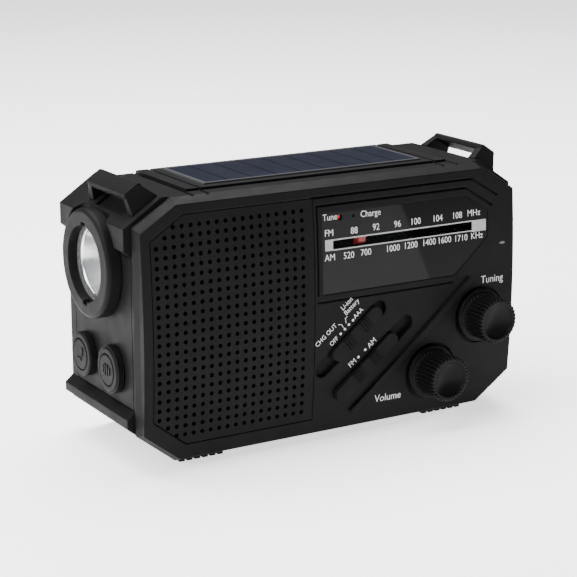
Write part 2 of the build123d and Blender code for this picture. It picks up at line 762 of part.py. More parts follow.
def torch_lens():
    """Clear disc held in the bezel's bore."""
    return rod_x(torch_y, torch_z, torch_bore - 0.05, -torch_face + 3.6, -torch_face + 4.8)


def bowl_solid(grow):
    """Solid paraboloid behind the torch lens, larger than the bowl's inside by grow."""
    x0 = -torch_face + 4.8
    depth = reflector_depth + grow
    rim = torch_bore - 1.1 + grow
    curve = [(x0 + depth * (1 - (step / 8) ** 2), rim * step / 8) for step in range(9)]
    section = [(x, torch_y, torch_z + r) for x, r in curve + [(x0, 0.0)]]
    return revolve(make_face(Polyline(*section, close=True)), axis=Axis((0, torch_y, torch_z), (1, 0, 0)))


def torch_reflector():
    """Parabolic bowl, open towards the lens, with a hole for the lamp."""
    return bowl_solid(0.9) - bowl_solid(0.0) - rod_x(torch_y, torch_z, 2.3, -torch_face, 0)


def torch_lamp():
    """White lamp on its round board, behind the reflector."""
    x0 = -torch_face + 4.8 + reflector_depth
    lamp = rod_x(torch_y, torch_z, 2.0, x0 - 3.5, x0 + 1.0)
    return lamp + rod_x(torch_y, torch_z, 9.0, x0 + 1.0, x0 + 2.6)


def button_collar(offset, ribbed):
    """Raised round surround of a side button."""
    y = front + offset
    outer = -side_face
    collar = rod_x(y, button_z, button_collar_radius, outer - 3.2, outer)
    collar = fillet(collar.edges().group_by(Axis.X)[0], 0.8)
    if ribbed:
        for step in range(3):
            x0 = outer - 2.6 + 0.85 * step
            ring = rod_x(y, button_z, button_collar_radius + 0.6, x0, x0 + 0.45)
            collar += ring
    return collar - rod_x(y, button_z, button_cap_radius + fit_gap, outer - 5, outer + 1)


def button_cap(offset, marks):
    """Push button with its raised symbol and a stem to its switch."""
    y = front + offset
    outer = -side_face
    cap = rod_x(y, button_z, button_cap_radius, outer - 3.4, outer + 3.4)
    cap = chamfer(cap.edges().group_by(Axis.X)[0], 0.4)
    cap += rod_x(y, button_z, 1.5, outer + 3.4, outer + 5.0)
    for y0, y1, z0, z1 in marks:
        cap += block(outer - 3.7, outer - 3.3, y + y0, y + y1, button_z + z0, button_z + z1)
    return cap


def button_switches():
    """Two tact switches on a small board behind the side buttons."""
    outer = -side_face
    y0, y1 = front + button_from_front[1] - 5, front + button_from_front[0] + 5
    board = block(outer + 9.4, outer + 10.6, y0, y1, button_z - 5, button_z + 5)
    for offset in button_from_front:
        y = front + offset
        board += block(outer + 6.4, outer + 9.4, y - 3, y + 3, button_z - 3, button_z + 3)
    return board


def siren():
    """Round alarm sounder at the bottom of the case."""
    return rod_z(4.0, front + 46.0, 9.0, case_bottom + wall, case_bottom + wall + 5.0)


# ---- top --------------------------------------------------------------------
def solar_frame():
    """Raised deck plate that carries the solar panel."""
    y0 = front + solar_front - 4.0 + fit_gap
    y1 = back - antenna_shelf_depth
    plate = block(-deck_half_width + 0.9, deck_half_width - 0.9, y0, y1, case_top - 1.2, deck_top)
    plate -= block(-solar_half_width - 0.2, solar_half_width + 0.2, front + solar_front - 0.2,
                   front + solar_back + 0.2, case_top - 0.4, deck_top + 5)
    for x in (-deck_slot_x[0], deck_slot_x[0]):
        plate -= block(x - deck_slot_width / 2, x + deck_slot_width / 2, y0 - 1, y1 + 1, case_top - 0.4, deck_top + 1)
    return plate


def solar_panel():
    """Solar cells under a clear sheet."""
    return block(-solar_half_width, solar_half_width, front + solar_front, front + solar_back, case_top - 0.4,
                 deck_top + solar_proud)


def strap_bracket(side):
    """Raised loop on the shoulder's slope: two flared legs and a flat bar, open below for the strap."""
    top = bracket_rise + bracket_thickness
    run = bracket_leg_slope
    t = bracket_thickness
    y0, y1 = front + bracket_front, front + bracket_back
    half, foot = bracket_width / 2, bracket_foot_width / 2
    bar = block(-half, half, y0 + run, y1 - run, bracket_rise, top)
    bar = chamfer(bar.edges().filter_by(Axis.Y).group_by(Axis.Z)[-1], 0.8)
    low = 0.0
    for outer_y, inner_y, toward in ((y0, y0 + run, 1), (y1, y1 - run, -1)):
        near, far = sorted((outer_y, outer_y + toward * (t + 1.2)))
        base = Pos(0, (near + far) / 2, low) * Rectangle(2 * foot, far - near)
        near, far = sorted((inner_y, inner_y + toward * t))
        head = Pos(0, (near + far) / 2, top) * Rectangle(2 * half - 1.6, far - near)
        bar += loft([base.face(), head.face()])
    slope = degrees(atan(shoulder_chamfer[1] / shoulder_chamfer[0]))
    solid = Pos(bracket_middle, 0, chamfer_plane_height(bracket_middle)) * Rot(0, slope, 0) * bar
    return solid if side > 0 else mirror(solid, about=Plane.YZ)


# ---- antenna ----------------------------------------------------------------
def antenna_y():
    """Middle of the shelf that the antenna lies on."""
    return back - antenna_shelf_depth / 2 + 0.2


def antenna_base():
    """Swivel block with two ears and the pin that holds the mast's tongue."""
    x, y, z = antenna_pivot_x, antenna_y(), antenna_z
    wall_y = back - antenna_shelf_depth
    block_part = rod_y(x, z, 4.2, wall_y + 0.1, y - 3.4)
    stub = rod_y(x, z, 2.0, wall_y - wall + 0.2, wall_y + 0.1)
    ears = block(x - 2.9, x + 2.9, y - 3.4, y + 2.4, z + 1.5, z + 3.6)
    ears += block(x - 2.9, x + 2.9, y - 3.4, y + 2.4, z - 3.6, z - 1.5)
    return block_part + stub + ears + rod_z(x, y, 1.0, z - 3.7, z + 3.7)


def antenna_tube(level):
    """Telescopic section: 0 is the outer tube, 1 the middle one, 2 the inner rod."""
    y, z = antenna_y(), antenna_z
    x0 = antenna_pivot_x + 5.0
    radius = antenna_radius - antenna_step * level
    start = x0 + 3.0 * level
    end = x0 + antenna_length + 1.2 * level
    tube = rod_x(y, z, radius, start, end)
    if level < 2:
        tube -= rod_x(y, z, radius - antenna_wall, start + 2.0, end - 2.5)
        tube -= rod_x(y, z, radius - antenna_step + shaft_gap, end - 3.0, end + 1)
    if level == 0:
        tongue = block(antenna_pivot_x - 1.6, x0 + 0.5, y - 2.0, y + 2.0, z - 1.35, z + 1.35)
        tongue += rod_z(antenna_pivot_x, y, 2.0, z - 1.35, z + 1.35)
        tongue -= rod_z(antenna_pivot_x, y, 1.0 + shaft_gap, z - 3, z + 3)
        tongue -= block(antenna_pivot_x - 3, antenna_pivot_x, y - 3, y + 3, z - 3, z + 3)
        tongue += rod_z(antenna_pivot_x, y, 1.9, z - 1.35, z + 1.35)
        tongue -= rod_z(antenna_pivot_x, y, 1.0 + shaft_gap, z - 3, z + 3)
        tube += tongue
    return tube


def antenna_tip():
    """Small round end cap."""
    x0 = antenna_pivot_x + 5.0 + antenna_length + 2.4
    tip = rod_x(antenna_y(), antenna_z, antenna_radius, x0, x0 + 4.0)
    return fillet(tip.edges().group_by(Axis.X)[-1], 1.2)


# ---- crank, gears and generator ---------------------------------------------
def polar(spot, angle, reach):
    """Point at a distance and angle from a spot, the angle running from +X towards +Z."""
    return (spot[0] + reach * cos(radians(angle)), spot[1] + reach * sin(radians(angle)))


def idler_spot():
    """Axis of the step-up gear."""
    return polar(crank_at, idler_angle, first_module * (wheel_teeth + pinion_teeth) / 2)


def generator_spot():
    """Axis of the generator."""
    return polar(idler_spot(), generator_angle, second_module * (wheel_teeth + pinion_teeth) / 2)


def first_layer():
    """Start of the crank gear's layer."""
    return recess_floor() - wall - 5.4


def second_layer():
    """Start of the generator gear's layer."""
    return first_layer() - 5.0


def crank_arm():
    """Flat arm with a window that the folded grip lies in, and the grip's hinge pin across it."""
    x, z = crank_at
    y0 = recess_floor() + crank_recess_depth + crank_proud - crank_arm_thickness
    y1 = y0 + crank_arm_thickness
    half = crank_arm_width / 2
    arm = block(x - half, x + half, y0, y1, z, z + crank_arm_reach - half)
    arm += rod_y(x, z, half, y0, y1) + rod_y(x, z + crank_arm_reach - half, half, y0, y1)
    arm = fillet(arm.edges().group_by(Axis.Y)[-1], 1.2)
    wx, wz = grip_window
    pin_z = grip_pin_z()
    arm -= block(x - wx / 2, x + wx / 2, y0 - 1, y1 + 1, pin_z - wz + 3.0, pin_z + 3.0)
    arm += rod_x(grip_pin_y(), pin_z, 1.0, x - half + 1, x + half - 1)
    return arm - rod_y(x, z, crank_shaft_radius, y0 - 1, y0 + 5)


def grip_pin_y():
    """Depth of the grip's hinge pin."""
    return back + crank_proud - crank_arm_thickness / 2


def grip_pin_z():
    """Height of the grip's hinge pin with the arm upright."""
    return crank_at[1] + crank_arm_reach - crank_arm_width / 2 + 1.0


def crank_gear():
    """Large gear moulded on the shaft that runs through the recess floor to the arm."""
    x, z = crank_at
    y0 = back + crank_proud - crank_arm_thickness
    wheel = gear_at(crank_at, first_layer(), wheel_teeth, first_module, crank_shaft_radius - 1, 4.0, idler_angle)
    return wheel + rod_y(x, z, crank_shaft_radius, second_layer() - 2.4, y0 + 5)


def grip_spindle():
    """Hinged block with the spindle that the grip spins on."""
    x = crank_at[0]
    y, z = grip_pin_y(), grip_pin_z()
    knuckle = rod_x(y, z, 2.6, x - 4.4, x + 4.4)
    spindle = rod_z(x, y, 1.5, z - grip_length - 0.8, z)
    head = rod_z(x, y, 2.2, z - grip_length - 1.4, z - grip_length - 0.4)
    return knuckle + spindle + head - rod_x(y, z, 1.0 + shaft_gap, x - 10, x + 10)


def crank_grip():
    """Turning grip, folded down into the arm."""
    x = crank_at[0]
    y, z = grip_pin_y(), grip_pin_z()
    low = z - grip_length
    grip = rod_z(x, y, grip_radius, low, z - crank_arm_thickness / 2 - grip_neck)
    grip = fillet(grip.edges().filter_by(GeomType.CIRCLE), 0.8)
    grip -= rod_z(x, y, 1.5 + shaft_gap, low - 1, z)
    return grip - rod_z(x, y, 2.2 + fit_gap, low - 1, low + 0.1)


def idler_gear():
    """Step-up gear: small pinion under the crank gear, large wheel over the generator."""
    spot = idler_spot()
    facing = idler_angle + 180 + 180 / pinion_teeth
    pinion = gear_at(spot, first_layer() - 1.0, pinion_teeth, first_module, 0.9, 5.0, facing)
    wheel = gear_at(spot, second_layer(), wheel_teeth, second_module, 0.9, 4.0, generator_angle)
    shaft = rod_y(spot[0], spot[1], 1.5, second_layer() - 2.4, recess_floor() - wall + 1.2)
    return pinion + wheel + shaft


def generator_pinion():
    """Pinion and spindle of the generator."""
    spot = generator_spot()
    facing = generator_angle + 180 + 180 / pinion_teeth
    pinion = gear_at(spot, second_layer(), pinion_teeth, second_module, 0.6, 3.0, facing)
    return pinion + rod_y(spot[0], spot[1], 1.0, second_layer() - 6.0, second_layer() + 3.0)


def generator():
    """Hand generator under the gear plate."""
    x, z = generator_spot()
    y1 = second_layer() - 2.2
    return rod_y(x, z, generator_radius, y1 - 7.0, y1) - rod_y(x, z, 1.0 + shaft_gap, y1 - 5, y1 + 5)


def gear_plate():
    """Plate that carries the inner ends of the gear shafts, on three pillars."""
    y0, y1 = second_layer() - 2.2, second_layer() - 0.7
    spots = (crank_at, idler_spot(), generator_spot())
    plate = slab([(crank_at[0] - 6, crank_at[1] - 6), (generator_spot()[0] + 6, generator_spot()[1] - 7),
                  (idler_spot()[0] + 6, idler_spot()[1] + 6), (crank_at[0] - 6, crank_at[1] + 6)], y0, y1)
    for (x, z), radius in zip(spots, (crank_shaft_radius, 1.5, 1.0)):
        plate -= rod_y(x, z, radius + shaft_gap, y0 - 1, y1 + 1)
    for x, z in ((crank_at[0] - 3.5, crank_at[1] - 3.7), (crank_at[0] - 3.5, crank_at[1] + 3.7),
                 (idler_spot()[0] + 3.7, idler_spot()[1] + 1.2)):
        plate += rod_y(x, z, 1.8, board_front + 1.6, y0)
    return plate


# ---- power ------------------------------------------------------------------
def aaa_cells():
    """Three dry cells side by side in the bay."""
    x0, x1, z0, z1 = bay
    middle = (x0 + x1) / 2
    cells = []
    for index in range(3):
        z = (z0 + z1) / 2 + (index - 1) * (2 * aaa_radius + 0.7)
        cell = rod_x(aaa_y(), z, aaa_radius, middle - aaa_length / 2, middle + aaa_length / 2 - 1)
        cell += rod_x(aaa_y(), z, 1.9, middle + aaa_length / 2 - 1, middle + aaa_length / 2)
        cells.append(cell)
    return Compound(children=cells)


def aaa_y():
    """Middle of the dry cells' depth in the bay."""
    return back - bay_depth + aaa_radius + 0.5


def battery_contacts():
    """Contact strips at both ends of the bay, with a pad for each cell."""
    x0, x1, z0, z1 = bay
    middle = (x0 + x1) / 2
    strips = []
    for wall_x, end in ((x0, middle - aaa_length / 2), (x1, middle + aaa_length / 2)):
        toward = 0.5 if end > wall_x else -0.5
        strip = block(min(wall_x, wall_x + toward), max(wall_x, wall_x + toward), aaa_y() - 4, aaa_y() + 4,
                      z0 + 2, z1 - 2)
        for index in range(3):
            z = (z0 + z1) / 2 + (index - 1) * (2 * aaa_radius + 0.7)
            strip += rod_x(aaa_y(), z, 2.4, min(wall_x + toward, end), max(wall_x + toward, end))
        strips.append(strip)
    return Compound(children=strips)


def battery_door():
    """Lid of the battery bay, hinged on two small pins along its bottom edge."""
    x0, x1, z0, z1 = bay
    g = door_gap
    t = door_thickness
    hinge_z = z0 + g + t / 2
    door = block(x0 + g, x1 - g, back - t, back, hinge_z, z1 - g)
    door += rod_x(back - t / 2, hinge_z, t / 2, x0 + g, x1 - g)
    door += rod_x(back - t / 2, hinge_z, 0.8, x0 - 1.2, x1 + 1.2)
    for index in range(4):
        z = z1 - 6.0 - 1.8 * index
        door -= block((x0 + x1) / 2 - 7, (x0 + x1) / 2 + 7, back - 0.5, back + 1, z - 0.4, z + 0.4)
    return door


def lithium_cell():
    """Rechargeable cell between the torch and the gears."""
    return rod_x(front + 41.0, 60.5, lithium_radius, -56.0, -56.0 + lithium_length)


def ferrite_aerial():
    """Ferrite rod of the medium-wave aerial with its winding."""
    y, z = front + 36.0, 92.3
    return rod_x(y, z, 3.5, -34.0, 52.0) + rod_x(y, z, 4.3, 20.0, 44.0)


def usb_sockets():
    """Charging inlet and outlet on one small board."""
    y, z = front + usb_from_front, usb_z
    x1 = side_face - wall - 1.0
    body = block(x1 - 14, x1, y - 11.6, y + 1.5, z - 3.4, z + 3.4)
    body -= block(x1 - 11, x1 + 1, y - 11.0, y + 0.9, z - 2.4, z + 2.4)
    small = block(x1 - 6, x1, y + 3.0, y + 11.5, z - 3.4, z + 2.0)
    small -= block(x1 - 5, x1 + 1, y + 3.6, y + 10.9, z - 1.3, z + 1.3)
    return body + small + block(x1 - 15, x1 - 0.5, y - 12, y + 12, z - 5.0, z - 3.4)


def usb_cover():
    """Rubber flap over the sockets, hinged along its lower edge."""
    y, z = front + usb_from_front, usb_z
    a, b = usb_flap[0] / 2, usb_flap[1] / 2
    t = 1.8
    flap = block(side_face - t, side_face, y - a, y + a, z - b + t / 2, z + b)
    flap += rod_y(side_face - t / 2, z - b + t / 2, t / 2, y - a, y + a)
    return flap + block(side_face, side_face + 0.8, y - 4, y + 4, z + b - 3.0, z + b - 1.0)


# ---- feet and screws --------------------------------------------------------
def rubber_feet():
    """Four ribbed pads under the case."""
    feet = []
    for x in (-54.0, 54.0):
        for y in (front + 14.0, back - 12.0):
            foot = block(x - 9, x + 9, y - 5, y + 5, 0, case_bottom)
            for step in (-2, -1, 0, 1, 2):
                foot -= block(x + 3.2 * step - 0.5, x + 3.2 * step + 0.5, y - 6, y + 6, -1, 0.8)
            feet.append(foot)
    return Compound(children=feet)


def case_screws():
    """Screws that hold the two shells together."""
    screws = []
    for x, z in screw_spots:
        screw = rod_y(x, z, screw_radius, seam - 8.0, back - 5.0)
        screw += rod_y(x, z, screw_head_radius, back - 5.0, back - 3.0)
        screw -= block(x - 0.5, x + 0.5, back - 3.8, back, z - 2, z + 2)
        screw -= block(x - 2, x + 2, back - 3.8, back, z - 0.5, z + 0.5)
        screws.append(screw)
    return Compound(children=screws)


torch_marks = ((-2.6, -1.2, 1.2, 2.8), (-2.2, -1.6, -0.4, 1.2), (-1.0, 2.4, -2.4, -1.2))
alarm_marks = ((-3.0, -2.2, -1.4, 1.4), (-1.2, -0.4, -2.2, 2.2), (0.6, 1.4, -2.2, 2.2), (2.2, 3.0, -1.4, 1.4))

nodes = {
    "front_housing": front_housing,
    "rear_housing": rear_housing,
    "speaker_grille": speaker_grille,
    "dial_lens": dial_lens,
    "dial_plate": dial_plate,
    "indicator_lamps": indicator_lamps,
    "tuning_pointer": tuning_pointer,
    "dial_cord": dial_cord,
    "cord_pulley_left": lambda: cord_pulley(pulley_spots[0]),
    "cord_pulley_right": lambda: cord_pulley(pulley_spots[1]),
    "tuning_knob": lambda: knob(tuning_at),
    "tuning_spindle": tuning_spindle,
    "tuning_capacitor": tuning_capacitor,
    "volume_knob": lambda: knob(volume_at),
    "volume_spindle": lambda: knob_shaft(volume_at, front + 16.0),
    "volume_control": volume_control,
    "power_slider": lambda: slider(power_slider_at, power_slider_length),
    "band_slider": lambda: slider(band_slider_at, band_slider_length),
    "power_switch": lambda: switch_body(power_slider_at, power_travel),
    "band_switch": lambda: switch_body(band_slider_at, (0.0, band_travel)),
    "speaker_basket": speaker_basket,
    "speaker_cone": speaker_cone,
    "speaker_magnet": speaker_magnet,
    "main_board": main_board,
    "left_side_panel": left_side_panel,
    "torch_bezel": torch_bezel,
    "torch_lens": torch_lens,
    "torch_reflector": torch_reflector,
    "torch_lamp": torch_lamp,
    "torch_button_collar": lambda: button_collar(button_from_front[0], False),
    "alarm_button_collar": lambda: button_collar(button_from_front[1], True),
    "torch_button": lambda: button_cap(button_from_front[0], torch_marks),
    "alarm_button": lambda: button_cap(button_from_front[1], alarm_marks),
    "button_switches": button_switches,
    "siren": siren,
    "solar_frame": solar_frame,
    "solar_panel": solar_panel,
    "strap_bracket_left": lambda: strap_bracket(-1),
    "strap_bracket_right": lambda: strap_bracket(1),
    "antenna_base": antenna_base,
    "antenna_outer": lambda: antenna_tube(0),
    "antenna_middle": lambda: antenna_tube(1),
    "antenna_inner": lambda: antenna_tube(2) + antenna_tip(),
    "crank_arm": crank_arm,
    "crank_gear": crank_gear,
    "grip_spindle": grip_spindle,
    "crank_grip": crank_grip,
    "idler_gear": idler_gear,
    "generator_pinion": generator_pinion,
    "generator": generator,
    "gear_plate": gear_plate,
    "aaa_cells": aaa_cells,
    "battery_contacts": battery_contacts,
    "battery_door": battery_door,
    "lithium_cell": lithium_cell,
    "ferrite_aerial": ferrite_aerial,
    "usb_sockets": usb_sockets,
    "usb_cover": usb_cover,
    "case_screws": case_screws,
    "rubber_feet": rubber_feet,
}

for name, make in nodes.items():
    export_step(Pos(middle_shift, 0, 0) * make(), f"parts/{name}.step")
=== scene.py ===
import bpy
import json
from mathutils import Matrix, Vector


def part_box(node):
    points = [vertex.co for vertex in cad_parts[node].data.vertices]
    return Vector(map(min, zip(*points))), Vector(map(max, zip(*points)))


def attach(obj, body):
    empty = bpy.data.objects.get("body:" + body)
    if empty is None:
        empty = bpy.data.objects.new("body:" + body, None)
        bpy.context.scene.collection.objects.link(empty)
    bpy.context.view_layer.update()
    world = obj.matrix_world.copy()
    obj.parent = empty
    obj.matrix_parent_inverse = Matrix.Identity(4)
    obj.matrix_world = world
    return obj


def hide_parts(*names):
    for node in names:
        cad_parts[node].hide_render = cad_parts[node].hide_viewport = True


bl_info = {
    "name": "Crank Radio Finishes",
    "version": (1, 0, 0),
    "blender": (4, 5, 0),
    "location": "View3D > Sidebar > Radio",
    "description": "Turned knobs, printed scale, torch bowl and moulded finishes for a crank radio",
    "category": "Object",
}

import json
from math import cos, pi, radians, sin

import bmesh
import bpy
import numpy as np
from bpy.props import FloatProperty, FloatVectorProperty, IntProperty, PointerProperty
from bpy.types import Operator, Panel, PropertyGroup
from mathutils import Vector

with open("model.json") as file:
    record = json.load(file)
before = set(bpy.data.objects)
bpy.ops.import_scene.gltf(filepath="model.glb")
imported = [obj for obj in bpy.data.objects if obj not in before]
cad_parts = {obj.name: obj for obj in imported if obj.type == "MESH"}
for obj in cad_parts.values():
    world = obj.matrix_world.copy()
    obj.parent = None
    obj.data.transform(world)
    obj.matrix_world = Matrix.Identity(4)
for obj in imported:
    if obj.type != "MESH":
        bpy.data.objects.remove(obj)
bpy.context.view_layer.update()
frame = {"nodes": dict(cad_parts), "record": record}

MM = 0.001
PITCH = 3.5 * MM               # spacing of the grille's holes, which the front is laid out in
GRILLE_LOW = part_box("speaker_grille")[0]
HOUSING_LOW, HOUSING_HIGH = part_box("front_housing")
LENS_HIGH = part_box("dial_lens")[1]
FRONT = GRILLE_LOW.y
MIDDLE_X = (HOUSING_LOW.x + HOUSING_HIGH.x) / 2
CROWN_RADIUS = 0.423
GRILLE_MIDDLE_COLUMN = 12.9     # the case's middle, in pitches from the grille's left edge
ROWS_TO_FLOOR = 14.8            # the layout's zero row stands this many pitches above the floor
SWITCH_ANGLE = 39.5             # slope of the two slide switches and their words, in degrees
CROWN_MIDDLE = (HOUSING_LOW.z + HOUSING_HIGH.z) / 2 - 0.00045


# ---- sizes and colours ---------------------------------------------------------
class RadioSizes(PropertyGroup):
    flutes: IntProperty(name="Knob flutes", description="Grip flutes around each knob",
                        default=34, min=12, max=60)
    flute_depth: FloatProperty(name="Flute depth", description="How deep the knob flutes are", default=0.0010,
                               subtype='DISTANCE', unit='LENGTH')
    dish_depth: FloatProperty(name="Dish depth", description="How far the knob face is hollowed",
                              default=0.0021,
                              subtype='DISTANCE', unit='LENGTH')
    figure_height: FloatProperty(name="Figure height", description="Letter size on the scale", default=0.0036,
                                 subtype='DISTANCE', unit='LENGTH')
    label_height: FloatProperty(name="Label height", description="Letter size on the case", default=0.0038,
                                subtype='DISTANCE', unit='LENGTH')
    edge_softness: FloatProperty(name="Edge softness", description="Radius of the moulded edges' highlights",
                                 default=0.0007, subtype='DISTANCE', unit='LENGTH')
    cell_pitch: FloatProperty(name="Cell pitch", description="Width of one solar cell", default=0.0104,
                              subtype='DISTANCE', unit='LENGTH')


class RadioColours(PropertyGroup):
    case: FloatVectorProperty(name="Case", description="Moulded case", subtype='COLOR', size=3,
                              default=(0.0062, 0.0062, 0.0066), min=0, max=1)
    knob: FloatVectorProperty(name="Knob", description="Turning knobs", subtype='COLOR', size=3,
                              default=(0.0052, 0.0052, 0.0055), min=0, max=1)
    dial: FloatVectorProperty(name="Dial", description="Plate behind the window", subtype='COLOR', size=3,
                              default=(0.006, 0.006, 0.007), min=0, max=1)
    print_ink: FloatVectorProperty(name="Print", description="Figures and labels", subtype='COLOR', size=3,
                                   default=(0.62, 0.62, 0.62), min=0, max=1)
    solar: FloatVectorProperty(name="Solar cells", description="Cells under the clear sheet", subtype='COLOR',
                               size=3, default=(0.005, 0.006, 0.015), min=0, max=1)
    floor: FloatVectorProperty(name="Floor", description="Studio floor", subtype='COLOR', size=3,
                               default=(0.90, 0.90, 0.90), min=0, max=1)


def sizes():
    return bpy.context.scene.radio_sizes


def colours():
    return bpy.context.scene.radio_colours


# ---- mesh helpers --------------------------------------------------------------
def mesh_piece(name, points, faces, smooth=True):
    """Object at the origin from an array of points and a list of faces."""
    mesh = bpy.data.meshes.new(name)
    mesh.from_pydata(np.asarray(points).tolist(), [], faces)
    mesh.validate()
    mesh.polygons.foreach_set("use_smooth", np.full(len(mesh.polygons), smooth))
    piece = bpy.data.objects.new(name, mesh)
    bpy.context.scene.collection.objects.link(piece)
    return piece


def grid_faces(rows, columns, wrap_rows=False):
    """Quads of a grid that closes round its columns, and round its rows too when asked."""
    last = rows if wrap_rows else rows - 1
    r, c = np.meshgrid(np.arange(last), np.arange(columns), indexing="ij")
    r2, c2 = (r + 1) % rows, (c + 1) % columns
    quads = np.stack([r * columns + c, r * columns + c2, r2 * columns + c2, r2 * columns + c], -1)
    return quads.reshape(-1, 4).tolist()


def turned_points(radius, height, centre, axis, steps, modulation=None):
    """Radius and height along a profile, swept round an axis: each point is the centre plus height along the
    axis plus radius times the cosine and sine of the angle on the two crossing directions."""
    angle = np.linspace(0, 2 * pi, steps, endpoint=False)
    r = np.asarray(radius)[:, None] * np.ones(steps)[None, :]
    if modulation is not None:
        r = r - modulation(angle)
    h = np.asarray(height)[:, None] * np.ones(steps)[None, :]
    a, b = r * np.cos(angle), r * np.sin(angle)
    order = {"-Y": (a, -h, b), "X": (h, a, b)}[axis]
    return np.stack(order, -1) + np.array(centre)


def closed_turning(name, radius, height, centre, axis, steps, modulation=None):
    """Solid of revolution whose first and last profile points are joined to a centre point on the axis."""
    rings = turned_points(radius, height, centre, axis, steps, modulation)
    rows = rings.shape[0]
    points = np.concatenate([rings.reshape(-1, 3), rings[:1].mean(1), rings[-1:].mean(1)])
    faces = grid_faces(rows, steps)
    around = np.arange(steps)
    after = (around + 1) % steps
    start, end = rows * steps, rows * steps + 1
    faces += np.stack([np.full(steps, start), after, around], -1).tolist()
    faces += np.stack([np.full(steps, end), (rows - 1) * steps + around,
                       (rows - 1) * steps + after], -1).tolist()
    return faced(mesh_piece(name, points, faces))


def faced(piece):
    """Turn every face of a closed piece outwards."""
    shape = bmesh.new()
    shape.from_mesh(piece.data)
    bmesh.ops.remove_doubles(shape, verts=shape.verts, dist=1e-7)
    bmesh.ops.recalc_face_normals(shape, faces=shape.faces)
    shape.to_mesh(piece.data)
    shape.free()
    return piece


def crown_depth(z):
    """Y of the case front at height z: an arc of the crown's radius."""
    return FRONT + CROWN_RADIUS - np.sqrt(CROWN_RADIUS ** 2 - (z - CROWN_MIDDLE) ** 2)


def grid_x(column):
    """X of a place counted in grille pitches from the left of the grille field."""
    return MIDDLE_X + (column - GRILLE_MIDDLE_COLUMN) * PITCH


def grid_z(row):
    """Height of a place counted in grille pitches."""
    return (row + ROWS_TO_FLOOR) * PITCH


def lettering(text, size, x, z, turn=0.0, lift=0.00008, depth=crown_depth, stretch=0.92):
    """Points and faces of raised print centred at x and z and turned in the plane of the front."""
    curve = bpy.data.curves.new("lettering", 'FONT')
    curve.body = text
    curve.size = size
    curve.extrude = 0.00002
    curve.align_x = 'CENTER'
    curve.align_y = 'CENTER'
    curve.offset = -size * 0.006
    curve.resolution_u = 3
    holder = bpy.data.objects.new("lettering", curve)
    bpy.context.scene.collection.objects.link(holder)
    bpy.context.view_layer.update()
    mesh = bpy.data.meshes.new_from_object(holder.evaluated_get(bpy.context.evaluated_depsgraph_get()))
    flat = np.zeros(len(mesh.vertices) * 3)
    mesh.vertices.foreach_get("co", flat)
    flat = flat.reshape(-1, 3)
    faces = [list(face.vertices) for face in mesh.polygons]
    bpy.data.objects.remove(holder)
    bpy.data.curves.remove(curve)
    bpy.data.meshes.remove(mesh)
    a = radians(turn)
    px = x + flat[:, 0] * stretch * cos(a) - flat[:, 1] * sin(a)
    pz = z + flat[:, 0] * stretch * sin(a) + flat[:, 1] * cos(a)
    py = depth(pz) - lift - flat[:, 2]
    return np.stack([px, py, pz], -1), faces


def plate(x0, x1, z0, z1, lift=0.00008, turn=0.0, depth=crown_depth):
    """Points and faces of a thin printed bar between two corners, turned about its middle."""
    cx, cz = (x0 + x1) / 2, (z0 + z1) / 2
    a = radians(turn)
    dx = np.array([x0, x1, x1, x0]) - cx
    dz = np.array([z0, z0, z1, z1]) - cz
    px, pz = cx + dx * cos(a) - dz * sin(a), cz + dx * sin(a) + dz * cos(a)
    near = np.stack([px, depth(pz) - lift - 0.00002, pz], -1)
    far = near + np.array([0, 0.00004, 0])
    faces = [[0, 1, 2, 3], [7, 6, 5, 4], [0, 4, 5, 1], [1, 5, 6, 2], [2, 6, 7, 3], [3, 7, 4, 0]]
    return np.concatenate([near, far]), faces


def stroke(start, end, width):
    """Points and faces of a thin printed line between two places on the front."""
    dx, dz = end[0] - start[0], end[1] - start[1]
    half = np.hypot(dx, dz) / 2 + width / 2
    cx, cz = (start[0] + end[0]) / 2, (start[1] + end[1]) / 2
    turn = np.degrees(np.arctan2(dz, dx))
    return plate(cx - half, cx + half, cz - width / 2, cz + width / 2, turn=turn)


def spot(x, z, rx, rz, lift=0.00008, depth=crown_depth, turn=0.0):
    """Points and faces of a thin printed oval: the cosine and sine of the angle times its two radii."""
    t = np.linspace(0, 2 * pi, 20, endpoint=False)
    a = radians(turn)
    u, w = rx * np.cos(t), rz * np.sin(t)
    px, pz = x + u * cos(a) - w * sin(a), z + u * sin(a) + w * cos(a)
    near = np.stack([px, depth(pz) - lift - 0.00002, pz], -1)
    far = near + np.array([0, 0.00004, 0])
    around = np.arange(20)
    sides = np.stack([around, around + 20, (around + 1) % 20 + 20, (around + 1) % 20], -1).tolist()
    return np.concatenate([near, far]), [around.tolist(), (around[::-1] + 20).tolist()] + sides


def joined(name, parts):
    """One piece from several sets of points and faces."""
    points, faces, count = [], [], 0
    for part_points, part_faces in parts:
        points.append(part_points)
        faces += [[index + count for index in face] for face in part_faces]
        count += len(part_points)
    return mesh_piece(name, np.concatenate(points), faces, smooth=False)


